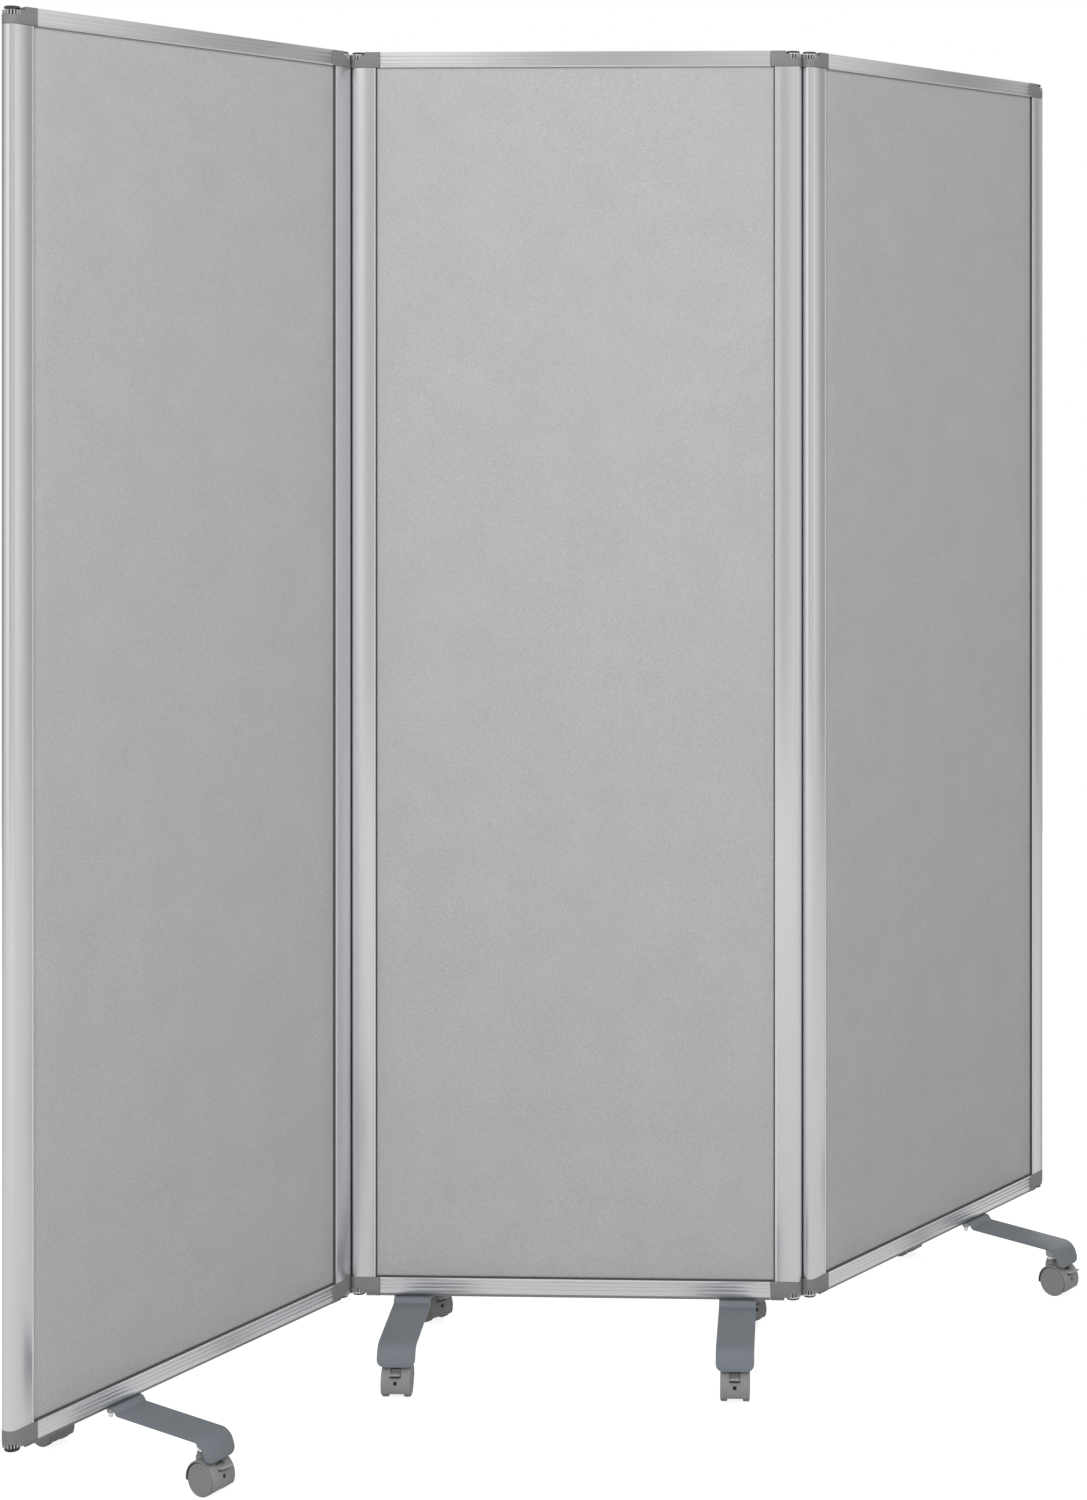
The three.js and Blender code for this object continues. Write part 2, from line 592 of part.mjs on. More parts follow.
const rightHinge = addGroup(screen, [POST_SPAN / 2, 0, 0], rightTurn);
addLinks(rightHinge, 'right_hinge', 0);
const rightPanel = addGroup(rightHinge, [HINGE_SPACING, 0, 0], rightTurn);
addPanel(rightPanel, 'right', ['inner', 'outer']);
addFoot(rightPanel, 'right_foot', SIDE_FOOT_INSET, 0);

// The origin is on the floor below the middle of the screen's box
screen.updateMatrixWorld(true);
const extent = new THREE.Box3().setFromObject(screen, true);
const middle = extent.getCenter(new THREE.Vector3());
screen.position.set(-middle.x, -middle.y, -extent.min.z);

export default screen;
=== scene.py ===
"""Fine shapes, finishes, light and camera for a folding three-panel screen on casters."""

import json
import math

import bmesh
import bpy
from mathutils import Matrix, Vector
from mathutils.geometry import tessellate_polygon

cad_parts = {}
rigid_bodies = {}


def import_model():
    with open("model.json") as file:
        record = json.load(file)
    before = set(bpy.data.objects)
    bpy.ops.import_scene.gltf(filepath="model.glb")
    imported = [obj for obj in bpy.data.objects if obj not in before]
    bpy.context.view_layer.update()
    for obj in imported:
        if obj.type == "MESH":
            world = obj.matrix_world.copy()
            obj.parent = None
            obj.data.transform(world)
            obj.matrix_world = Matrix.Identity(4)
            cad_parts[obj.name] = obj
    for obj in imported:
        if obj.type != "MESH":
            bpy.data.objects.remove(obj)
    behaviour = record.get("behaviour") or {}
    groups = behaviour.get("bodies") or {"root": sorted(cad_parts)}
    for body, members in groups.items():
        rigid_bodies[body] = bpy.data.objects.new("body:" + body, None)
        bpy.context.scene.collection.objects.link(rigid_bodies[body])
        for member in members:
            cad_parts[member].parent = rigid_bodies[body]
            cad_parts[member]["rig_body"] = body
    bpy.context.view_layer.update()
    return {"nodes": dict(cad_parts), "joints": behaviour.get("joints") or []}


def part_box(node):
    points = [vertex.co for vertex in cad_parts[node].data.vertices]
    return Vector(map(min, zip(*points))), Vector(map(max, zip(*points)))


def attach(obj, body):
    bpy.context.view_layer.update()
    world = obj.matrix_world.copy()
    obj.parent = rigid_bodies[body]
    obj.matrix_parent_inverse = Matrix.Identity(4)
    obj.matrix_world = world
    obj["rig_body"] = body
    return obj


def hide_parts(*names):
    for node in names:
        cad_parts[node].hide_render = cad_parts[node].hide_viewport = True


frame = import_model()

# Shapes are drawn in millimetres in the frame of their own piece and scaled once at the end
MM = 0.001

# Fineness of the meshes
SIDES = 96
PART_SIDES = 64
STEM_SIDES = 48
SCREW_SIDES = 40
PIN_SIDES = 24
ARC_STEPS = 40
POST_ARC_STEPS = 28
ROUND_STEPS = 3
ROUND_STEP_LENGTH = 1.5
MITRE_LIMIT = 0.3
MERGE_DISTANCE = 1e-4
EDGE_PROFILE = ((0.0, 1.0), (0.29, 0.29), (1.0, 0.0))
FINE_EDGE = 0.2

# How far a cutting shape stands out past what it cuts
PAST = 2

# Panels: the frame's profiles, from the axis of a panel's left post
HALF_DEPTH = 10.5
POST_SPAN = 589.0
PANEL_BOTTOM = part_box("centre_bottom_rail")[0].z / MM
PANEL_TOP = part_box("centre_top_rail")[1].z / MM
SEAM = 0.3
FRAME_WALL = 1.6
POST_FACE = 24.0
CHANNEL_DEPTH = 9.0
CHANNEL_HALF = 8.0
RAIL_HEIGHT = 21.0
SKIRT_HEIGHT = 4.5
SKIRT_HALF = 8.0
LIP_WIDTH = 2.2
LIP_GROOVE_WIDTH = 0.8
LIP_GROOVE_DEPTH = 0.5
RAIL_GROOVES = (7.0, 12.0, 16.6)
RAIL_GROOVE_WIDTH = 1.2
RAIL_GROOVE_DEPTH = 0.8
EDGE_ROUND = 0.5
GROOVE_ROUND = 0.25
POST_ROUND = 11.8
LIP_BEAD_PROUD = 0.2
LIP_BEAD_DEPTH = 0.7
FRAME_LOW = PANEL_BOTTOM + SKIRT_HEIGHT
FRAME_HEIGHT = PANEL_TOP - FRAME_LOW
POST_LOW = FRAME_LOW + RAIL_HEIGHT + SEAM
POST_HIGH = PANEL_TOP - RAIL_HEIGHT - SEAM

# Boards: the fabric draws in where it enters the channels
BOARD_HALF = 7.7
BOARD_EDGE = 15.3
BOARD_DRAW = 1.6
BOARD_DRAW_WIDTH = 4.0
BOARD_DRAW_SHARES = (0.0, 0.12, 0.28, 0.5, 0.75, 1.0)
BOARD_CELL = 28.0
BOARD_WAVE_DEPTH = 0.12
BOARD_WAVE_ACROSS = 71.0
BOARD_WAVE_ALONG = 113.0

# Dark trim of painted shade between a board and the lips, as inset from the lips and height over
# the board's middle
SHADE_TRIM_GAP = 0.05
SHADE_TRIM_FIN = 0.7
SHADE_TRIM_WIDTH = 1.9
SHADE_TRIM_TOP = 9.8
SHADE_TRIM_LOW = 6.8
SHADE_TRIM_ROOT = 5.3
SHADE_TRIM_TUCKED = 2.2

# Corner pieces, with the end face at z = 0 and the rail's side towards +X
CORNER_HALF = 11.5
CORNER_ROUND = 11.85
CORNER_SEAM_HALF = 10.7
CORNER_LENGTH = 30.0
RAIL_START = CORNER_LENGTH + SEAM
RAIL_END = POST_SPAN - RAIL_START
CORNER_BLEND = 7.0
CORNER_CHAMFER = 0.8
CORNER_SKIRT_HALF = 9.0
NOTCH_RADIUS = 14.5
NOTCH_HEIGHT = 4.7
CAP_RADIUS = 9.25
CAP_THICKNESS = 3.0
CORE_RADIUS = 6.0
RING_HEIGHT = 5.5
RING_TEETH = 18
RING_TEETH_SHOWN = 11
RING_TOOTH_WIDTH = 1.9
RING_RECESS = 2.4
RING_SPAN = (74.0, 286.0)
SCREW_RADIUS = 3.0
SCREW_SOCKET_RADIUS = 1.5

# Hinge links
LINK_SPACING = 25.0
LINK_RADIUS = 10.4
LINK_EYE_RADIUS = 6.3
LINK_WAIST_HALF = 5.4
LINK_THICKNESS = 1.5
LINK_PLAY = 0.1
LINK_LOW = PANEL_BOTTOM + CAP_THICKNESS + LINK_PLAY
LINK_HIGH = PANEL_TOP - CAP_THICKNESS - LINK_PLAY - LINK_THICKNESS

# Dark strips of painted shade that close the gaps between hinged posts, from the lower link to the
# upper one
GAP_SHADE_HALF_WIDTH = 2.4
GAP_SHADE_HALF_THICKNESS = 0.4

# Feet: a strip that runs along Y under the rail
FOOT_HALF_WIDTH = 25.0
FOOT_THICKNESS = 4.0
FOOT_TOP = PANEL_BOTTOM - SEAM
FOOT_STEP = 6.5
FOOT_ARM_FALL = 3.5
FOOT_ARM_TOP = FOOT_TOP - FOOT_STEP - FOOT_ARM_FALL
FOOT_END_HEIGHT = FOOT_ARM_TOP - 26.0
FOOT_REACH = 165.0
FOOT_CROWN_HALF = 12.0
FOOT_STEP_END = 17.0
FOOT_BEND_RADIUS = 20.0
FOOT_BEND_DEGREES = 70.0
FOOT_STEP_ROUND = 5.2
FOOT_CORNER_RADIUS = 9.0
FOOT_EDGE_ROUND = 0.9
FOOT_END_SLICES = 8
SOCKET_RADIUS = 8.0
SOCKET_HEIGHT = 15.0
SOCKET_LOW = FOOT_ARM_TOP - FOOT_THICKNESS - SOCKET_HEIGHT
BOLT_NUT_RADIUS = 5.2
BOLT_NUT_HEIGHT = 6.0
BOLT_RADIUS = 3.0
BOLT_HEIGHT = 12.0
BOLT_SIDE = 18.0

# Casters, with the stem on the z axis and the floor at z = 0
CASTER_TRAIL = 12.0
CASTER_HALF = 19.0
WHEEL_RADIUS = 20.0
WHEEL_INNER = 10.2
AXLE_RADIUS = 3.0
POCKET_RADIUS = 21.2
POCKET_INNER = 9.7
HOOD_RADIUS = 23.0
HOOD_START = -10.0
HOOD_END = 207.0
HOOD_ROUND = 1.7
HOOD_FRONT = -CASTER_TRAIL - HOOD_RADIUS
WEB_UNDERSIDE = 13.5
POCKET_SHADE_THICKNESS = 0.85
NECK_RADIUS = 7.0
NECK_FLARE = 8.4
NECK_FLARE_TOP = 41.0
COLLAR_RADIUS = 5.6
COLLAR_HEIGHT = 3.9
STEM_RADIUS = 4.0
PEEPHOLE_HALF = 2.3
PEEPHOLE_HEIGHT = 24.0
PEEPHOLE_DEPTH = 9.0
PIVOT_Y = -18.0
PIVOT_Z = 34.0
SLOT_HALF = 7.0
SLOT_LOW = 30.0
SLOT_HIGH = 40.0
LEVER_HALF_WIDTH = 6.5
LEVER_REACH = 26.0
LEVER_RISE = 4.0
LEVER_HALF_THICKNESS = 1.5
LEVER_BOSS_RADIUS = 2.8
LEVER_PIN_RADIUS = 1.5
LEVER_PIN_HALF = 8.2

# Camera fitted to the photograph
CAMERA_PLACE = (0.289444, -3.578004, 1.37752)
CAMERA_YAW = 1.95
CAMERA_LENS = 63.8074
CAMERA_SHIFT = (-0.1105, -0.2746)
CAMERA_FAR = 50


# Outlines


def arc(u, v, radius, start, end, steps):
    """Points round a centre from one angle to another, in degrees."""
    turns = [math.radians(start + (end - start) * i / steps) for i in range(steps + 1)]
    return [(u + radius * math.cos(t), v + radius * math.sin(t)) for t in turns]


def circle(radius):
    return arc(0, 0, radius, 0, 360 - 360 / SIDES, SIDES - 1)


def hexagon(radius):
    return arc(0, 0, radius, 0, 300, 5)


def rounded(corners, closed=True):
    """A path through corners (u, v, radius), with each corner rounded by its radius."""
    path = []
    last = len(corners) - 1
    for i, (u, v, radius) in enumerate(corners):
        here = Vector((u, v))
        if radius == 0 or (not closed and i in (0, last)):
            path.append((u, v))
            continue
        back = (Vector(corners[i - 1][:2]) - here).normalized()
        ahead = (Vector(corners[(i + 1) % len(corners)][:2]) - here).normalized()
        half = back.angle(ahead) / 2
        centre = here + (back + ahead).normalized() * (radius / math.sin(half))
        start = here + back * (radius / math.tan(half)) - centre
        end = here + ahead * (radius / math.tan(half)) - centre
        first = math.atan2(start.y, start.x)
        sweep = (math.atan2(end.y, end.x) - first + math.pi) % (2 * math.pi) - math.pi
        steps = max(ROUND_STEPS, round(abs(sweep) * radius / ROUND_STEP_LENGTH))
        for k in range(steps + 1):
            turn = first + sweep * k / steps
            path.append((centre.x + radius * math.cos(turn), centre.y + radius * math.sin(turn)))
    return path


def moved_in(loop, distance):
    """A closed outline moved square to itself towards its left side."""
    if distance == 0:
        return list(loop)
    moved = []
    for i, point in enumerate(loop):
        here = Vector(point)
        before = (here - Vector(loop[i - 1])).normalized()
        after = (Vector(loop[(i + 1) % len(loop)]) - here).normalized()
        left = Vector((-before.y - after.y, before.x + after.x))
        mitre = max(1 + before.dot(after), MITRE_LIMIT)
        moved.append(tuple(here + left * (distance / mitre)))
    return moved


def quadratic(a, control, b, steps=8):
    """Points on a quadratic curve, without its first one."""
    points = []
    for i in range(1, steps + 1):
        t = i / steps
        weights = ((1 - t) ** 2, 2 * t * (1 - t), t * t)
        ends = (a, control, b)
        points.append(tuple(sum(w * p[k] for w, p in zip(weights, ends)) for k in (0, 1)))
    return points


# Meshes


def mesh_from(points, faces):
    """A closed mesh with its faces pointing out."""
    mesh = bpy.data.meshes.new("shape")
    mesh.from_pydata(points, [], faces)
    shape = bmesh.new()
    shape.from_mesh(mesh)
    bmesh.ops.remove_doubles(shape, verts=shape.verts, dist=MERGE_DISTANCE)
    bmesh.ops.recalc_face_normals(shape, faces=shape.faces)
    shape.to_mesh(mesh)
    shape.free()
    return mesh


def lofted(rings):
    """A closed mesh through rings with equal counts of points, with a flat face at each end."""
    count = len(rings[0])
    points = [p for ring in rings for p in ring]
    faces = [list(range(count)), list(range(len(points) - count, len(points)))]
    for r in range(len(rings) - 1):
        for i in range(count):
            j = (i + 1) % count
            a, b = r * count, (r + 1) * count
            faces.append([a + i, a + j, b + j, b + i])
    return mesh_from(points, faces)


def levels(low, high, edge):
    """Heights and insets of an extrusion whose two ends have rounded edges."""
    if edge == 0:
        return [(low, 0.0), (high, 0.0)]
    rise = [(low + share * edge, inset * edge) for share, inset in EDGE_PROFILE]
    fall = [(high - share * edge, inset * edge) for share, inset in reversed(EDGE_PROFILE)]
    return rise + fall


def extruded(loops, low, high, edge=0.0):
    """Outline and holes pulled along Z. The outline runs counter-clockwise, its holes clockwise."""
    points, faces, ends = [], [], ([], [])
    heights = levels(low, high, edge)
    for loop in loops:
        start, count = len(points), len(loop)
        for height, inset in heights:
            points += [(u, v, height) for u, v in moved_in(loop, inset)]
        for r in range(len(heights) - 1):
            for i in range(count):
                j = (i + 1) % count
                a, b = start + r * count, start + (r + 1) * count
                faces.append([a + i, a + j, b + j, b + i])
        ends[0].append(range(start, start + count))
        ends[1].append(range(start + (len(heights) - 1) * count, start + len(heights) * count))
    for end in ends:
        order = [i for loop in end for i in loop]
        flat = [[Vector((*points[i][:2], 0)) for i in loop] for loop in end]
        faces += [[order[i] for i in triangle] for triangle in tessellate_polygon(flat)]
    return mesh_from(points, faces)


def lathed(profile, sides=SIDES):
    """A closed profile (radius, height) turned about Z."""
    points = []
    for i in range(sides):
        turn = 2 * math.pi * i / sides
        points += [(r * math.cos(turn), r * math.sin(turn), z) for r, z in profile]
    count = len(profile)
    faces = []
    for i in range(sides):
        a, b = i * count, (i + 1) % sides * count
        for k in range(count):
            m = (k + 1) % count
            if profile[k][0] > 0 or profile[m][0] > 0:
                faces.append([a + k, b + k, b + m, a + m])
    return mesh_from(points, faces)


def box(x0, x1, y0, y1, z0, z1):
    return extruded([[(x0, y0), (x1, y0), (x1, y1), (x0, y1)]], z0, z1)


def towards_x(mesh):
    """Turns a mesh drawn in (y, z) and pulled along Z so that it runs along X."""
    mesh.transform(Matrix(((0, 0, 1, 0), (1, 0, 0, 0), (0, 1, 0, 0), (0, 0, 0, 1))))
    return mesh


def joined(meshes):
    """One mesh of several that stand apart."""
    whole = bmesh.new()
    for mesh in meshes:
        whole.from_mesh(mesh)
    result = bpy.data.meshes.new("joined")
    whole.to_mesh(result)
    whole.free()
    return result


def shifted(mesh, x, y, z):
    mesh.transform(Matrix.Translation((x, y, z)))
    return mesh


def combined(mesh, changes):
    """A mesh joined with others or cut by them, in turn."""
    host = bpy.data.objects.new("host", mesh)
    tools = []
    for operation, other in changes:
        tool = bpy.data.objects.new("tool", other)
        step = host.modifiers.new(operation, "BOOLEAN")
        step.operation = operation
        step.object = tool
        step.solver = "EXACT"
        tools.append(tool)
    for thing in (host, *tools):
        bpy.context.scene.collection.objects.link(thing)
    graph = bpy.context.evaluated_depsgraph_get()
    result = bpy.data.meshes.new_from_object(host.evaluated_get(graph))
    for thing in (host, *tools):
        bpy.data.objects.remove(thing)
    return result


def ready(mesh, material, smooth_degrees=32):
    """Scales a finished mesh to metres, smooths its rounds and gives it its material."""
    mesh.transform(Matrix.Scale(MM, 4))
    mesh.shade_smooth()
    mesh.set_sharp_from_angle(angle=math.radians(smooth_degrees))
    mesh.materials.clear()
    mesh.materials.append(material)
    return mesh


# Materials


def node(tree, kind, inputs=None, **settings):
    """A shader node. Its inputs are values, or sockets that are linked to it."""
    made = tree.nodes.new(kind)
    for key, value in settings.items():
        setattr(made, key, value)
    for key, value in (inputs or {}).items():
        if isinstance(value, bpy.types.NodeSocket):
            tree.links.new(value, made.inputs[key])
        else:
            made.inputs[key].default_value = value
    return made


def surface(name, **values):
    """A material with its Principled shader, and the piece's own coordinates."""
    material = bpy.data.materials.new(name)
    material.use_nodes = True
    tree = material.node_tree
    shader = tree.nodes["Principled BSDF"]
    for key, value in values.items():
        shader.inputs[key.replace("_", " ")].default_value = value
    place = node(tree, "ShaderNodeTexCoord").outputs["Object"]
    return material, tree, shader, place


def noise(tree, place, scale, detail=2.0, stretch=None):
    """Noise at a scale per metre, which may be stretched along the axes."""
    if stretch:
        place = node(tree, "ShaderNodeMapping", {"Vector": place, "Scale": stretch}).outputs[0]
    inputs = {"Vector": place, "Scale": scale, "Detail": detail}
    return node(tree, "ShaderNodeTexNoise", inputs).outputs["Fac"]


def spread(tree, value, low, high, source_low=0.3, source_high=0.7):
    """A value carried from one range to another."""
    inputs = {
        "Value": value, "From Min": source_low, "From Max": source_high,
        "To Min": low, "To Max": high,
    }
    return node(tree, "ShaderNodeMapRange", inputs).outputs["Result"]


def calculated(tree, operation, first, second):
    return node(tree, "ShaderNodeMath", {0: first, 1: second}, operation=operation).outputs[0]


def tinted(tree, share, dark, light):
    """A colour between two others."""
    inputs = {0: share, 6: (*dark, 1), 7: (*light, 1)}
    return node(tree, "ShaderNodeMix", inputs, data_type="RGBA").outputs[2]


def bumped(tree, shader, height, strength, distance):
    inputs = {"Height": height, "Strength": strength, "Distance": distance}
    tree.links.new(node(tree, "ShaderNodeBump", inputs).outputs[0], shader.inputs["Normal"])


def shades(colour, spread_share):
    """A colour a little darker and a little lighter."""
    return [tuple(c * (1 + s) for c in colour) for s in (-spread_share, spread_share)]


def toned(tree, shader, share, colour, contrast, pattern, low, high):
    """Colour by a share round a middle one, and roughness by a pattern between two levels."""
    dark, light = shades(colour, contrast)
    tree.links.new(tinted(tree, share, dark, light), shader.inputs["Base Color"])
    tree.links.new(spread(tree, pattern, low, high), shader.inputs["Roughness"])


FABRIC_COLOUR = (0.500, 0.500, 0.515)
METAL_COLOUR = (0.80, 0.80, 0.82)
# Lighter than the frame's metal: painted highlight on the lip beads
LIP_HIGHLIGHT_COLOUR = (0.96, 0.96, 0.97)
# Darker than the frame's metal: painted shade on the skirt under the bottom rail
SKIRT_SHADE_COLOUR = (0.30, 0.30, 0.31)
LINK_COLOUR = (0.95, 0.95, 0.95)
NUT_COLOUR = (0.42, 0.43, 0.44)
PAINT_COLOUR = (0.192, 0.216, 0.238)
CORNER_COLOUR = (0.235, 0.240, 0.243)
CASTER_COLOUR = (0.300, 0.295, 0.290)
WHEEL_COLOUR = (0.275, 0.271, 0.267)
LEVER_COLOUR = (0.420, 0.412, 0.405)
# Near-black: painted shade in the gaps between hinged posts
GAP_SHADE_COLOUR = (0.045, 0.046, 0.048)
# Near-black: painted shade on the knuckles' caps
CAP_SHADE_COLOUR = (0.055, 0.055, 0.057)
# Lighter than the corner plastic: painted highlight on the ring's teeth
TOOTH_HIGHLIGHT_COLOUR = (0.420, 0.425, 0.430)
# Near-black: painted shade in recesses, behind the ring's teeth and in the casters' pockets and
# square holes
RECESS_SHADE_COLOUR = (0.012, 0.012, 0.012)
# Near-black: painted shade between the boards and the frame's lips
TRIM_SHADE_COLOUR = (0.090, 0.090, 0.093)


def woven_fabric():
    """Plain weave with a fine fleck, dull, with a faint sheen."""
    material, tree, shader, place = surface(
        "woven_fabric", Roughness=0.95, Sheen_Weight=0.12, Sheen_Roughness=0.5,
    )
    fleck = noise(tree, place, 620.0, 4.0)
    cloud = noise(tree, place, 14.0, 3.0)
    share = calculated(tree, "ADD", spread(tree, fleck, -0.1, 0.9), spread(tree, cloud, 0.0, 0.2))
    dark, light = shades(FABRIC_COLOUR, 0.13)
    tree.links.new(tinted(tree, share, dark, light), shader.inputs["Base Color"])
    threads = [
        node(
            tree, "ShaderNodeTexWave", {"Vector": place, "Scale": 330.0, "Distortion": 1.2},
            bands_direction=direction,
        ).outputs["Fac"]
        for direction in ("X", "Z")
    ]
    weave = calculated(tree, "MULTIPLY", *threads)
    height = calculated(tree, "ADD", weave, spread(tree, fleck, 0.0, 0.8))
    bumped(tree, shader, height, 0.35, 0.0002)
    return material


def extruded_aluminium(name, stretch, colour=METAL_COLOUR):
    """Satin anodised metal with faint lines along the extrusion."""
    material, tree, shader, place = surface(name, Metallic=1.0)
    lines = noise(tree, place, 1.0, 3.0, stretch)
    toned(tree, shader, lines, colour, 0.01, lines, 0.30, 0.33)
    return material


def plated_steel(name, colour, roughness):
    """Zinc plate with a faint cloudiness."""
    material, tree, shader, place = surface(name, Metallic=1.0)
    cloud = noise(tree, place, 160.0, 4.0)
    toned(tree, shader, cloud, colour, 0.06, cloud, roughness - 0.06, roughness + 0.08)
    bumped(tree, shader, cloud, 0.05, 0.0001)
    return material


def moulded_plastic(name, colour, roughness):
    """Fine-grained plastic, a little different from piece to piece."""
    material, tree, shader, place = surface(name)
    grain = noise(tree, place, 1900.0, 2.0)
    cloud = noise(tree, place, 60.0, 3.0)
    own = node(tree, "ShaderNodeObjectInfo").outputs["Random"]
    own_share = spread(tree, own, 0.0, 0.3, 0.0, 1.0)
    share = calculated(tree, "ADD", spread(tree, cloud, 0.1, 0.6), own_share)
    toned(tree, shader, share, colour, 0.06, cloud, roughness - 0.05, roughness + 0.06)
    bumped(tree, shader, grain, 0.18, 0.00015)
    return material


def baked_paint():
    """Smooth coat on steel with a slight orange peel."""
    material, tree, shader, place = surface("baked_paint")
    peel = noise(tree, place, 420.0, 1.0)
    cloud = noise(tree, place, 25.0, 4.0)
    toned(tree, shader, cloud, PAINT_COLOUR, 0.05, cloud, 0.32, 0.44)
    bumped(tree, shader, peel, 0.12, 0.0003)
    return material


# Noise scales along X, Y and Z that draw the metal's lines upright or level
UPRIGHT_LINES = (1500.0, 1500.0, 9.0)
LEVEL_LINES = (9.0, 1500.0, 1500.0)

fabric = woven_fabric()
upright_metal = extruded_aluminium("upright_aluminium", UPRIGHT_LINES)
level_metal = extruded_aluminium("level_aluminium", LEVEL_LINES)
# Lip beads in a lighter metal: painted highlight along the lips
upright_lip_highlight_metal = extruded_aluminium("upright_lip_painted_highlight", UPRIGHT_LINES, LIP_HIGHLIGHT_COLOUR)
level_lip_highlight_metal = extruded_aluminium("level_lip_painted_highlight", LEVEL_LINES, LIP_HIGHLIGHT_COLOUR)
# Skirt in a darker metal: painted shade under the bottom rail
skirt_shade_metal = extruded_aluminium("skirt_aluminium_painted_shade", LEVEL_LINES, SKIRT_SHADE_COLOUR)
link_metal = plated_steel("bright_zinc", LINK_COLOUR, 0.26)
nut_metal = plated_steel("grey_zinc", NUT_COLOUR, 0.42)
paint = baked_paint()
corner_plastic = moulded_plastic("corner_plastic", CORNER_COLOUR, 0.45)
caster_plastic = moulded_plastic("caster_plastic", CASTER_COLOUR, 0.42)
wheel_plastic = moulded_plastic("wheel_plastic", WHEEL_COLOUR, 0.5)
lever_plastic = moulded_plastic("lever_plastic", LEVER_COLOUR, 0.42)
# Painted shade in the gaps between hinged posts
gap_painted_shade = moulded_plastic("gap_painted_shade", GAP_SHADE_COLOUR, 0.7)
# Painted shade along the gap between the boards and the lips
trim_painted_shade = moulded_plastic("trim_painted_shade", TRIM_SHADE_COLOUR, 0.8)
# Caps in near-black: painted shade
cap_shade_plastic = moulded_plastic("cap_shade_plastic", CAP_SHADE_COLOUR, 0.4)
# Teeth in a lighter plastic: painted highlight
tooth_highlight_plastic = moulded_plastic("tooth_highlight_plastic", TOOTH_HIGHLIGHT_COLOUR, 0.45)
# Painted shade in recesses and pockets
recess_painted_shade = moulded_plastic("recess_painted_shade", RECESS_SHADE_COLOUR, 0.8)


# Frame profiles


def lip(edge, outer, inner):
    """Half of a profile's channel lip: a bead beside a fine groove, from the channel outwards."""
    groove = edge - LIP_WIDTH
    floor = outer - LIP_GROOVE_DEPTH
    return [
        (edge, inner, GROOVE_ROUND),
        (edge, outer, EDGE_ROUND * 1.6),
        (groove, outer, GROOVE_ROUND),
        (groove, floor, 0),
        (groove - LIP_GROOVE_WIDTH, floor, 0),
        (groove - LIP_GROOVE_WIDTH, outer, GROOVE_ROUND),
    ]


def post_mesh():
    """Half round post with a channel for the board, from the lower corner to the upper one."""
    shoulder = math.degrees(math.asin(HALF_DEPTH / POST_ROUND))
    flat_end = -POST_ROUND * math.cos(math.radians(shoulder))
    corners = lip(POST_FACE, HALF_DEPTH, CHANNEL_HALF) + [(flat_end, HALF_DEPTH, 0)]
    side = rounded(corners, closed=False)
    floor = POST_FACE - CHANNEL_DEPTH
    outline = [(floor, CHANNEL_HALF)] + side[:-1]
    outline += arc(0, 0, POST_ROUND, 180 - shoulder, 180 + shoulder, POST_ARC_STEPS)
    outline += [(u, -v) for u, v in reversed(side[:-1])] + [(floor, -CHANNEL_HALF)]
    bore = arc(0, 0, HALF_DEPTH - FRAME_WALL, 90, 270, POST_ARC_STEPS)
    bore += [(floor - FRAME_WALL, sign * (HALF_DEPTH - FRAME_WALL)) for sign in (-1, 1)]
    return extruded([outline, bore[::-1]], POST_LOW, POST_HIGH, FINE_EDGE)


def lip_bead(edge):
    """Bead on a channel's lip, as (from the axis, across), and its twin. Its lighter metal is a
    painted highlight.
    """
    low, high = HALF_DEPTH - LIP_BEAD_DEPTH, HALF_DEPTH + LIP_BEAD_PROUD
    bead = rounded([
        (edge - LIP_WIDTH, low, 0.1), (edge + 0.05, low, 0.1),
        (edge + 0.05, high, 0.7), (edge - LIP_WIDTH, high, 0.7),
    ])
    return bead, [(u, -v) for u, v in reversed(bead)]


def post_lip_mesh():
    """The two beads along a post."""
    return joined([extruded([bead], POST_LOW, POST_HIGH) for bead in lip_bead(POST_FACE)])


def rail_lip_mesh(skirt):
    """The two beads along a rail."""
    beads = [[(v, u) for u, v in reversed(bead)] for bead in lip_bead(skirt + RAIL_HEIGHT)]
    return joined([towards_x(extruded([bead], RAIL_START, RAIL_END)) for bead in beads])


def skirt_mesh():
    """Strip that the bottom rail stands on; its dark metal is painted shade under the rail."""
    top = SKIRT_HEIGHT + 0.5
    section = rounded([
        (-SKIRT_HALF, 0, EDGE_ROUND), (SKIRT_HALF, 0, EDGE_ROUND),
        (SKIRT_HALF, top, 0.1), (-SKIRT_HALF, top, 0.1),
    ])
    return towards_x(extruded([section], RAIL_START, RAIL_END))


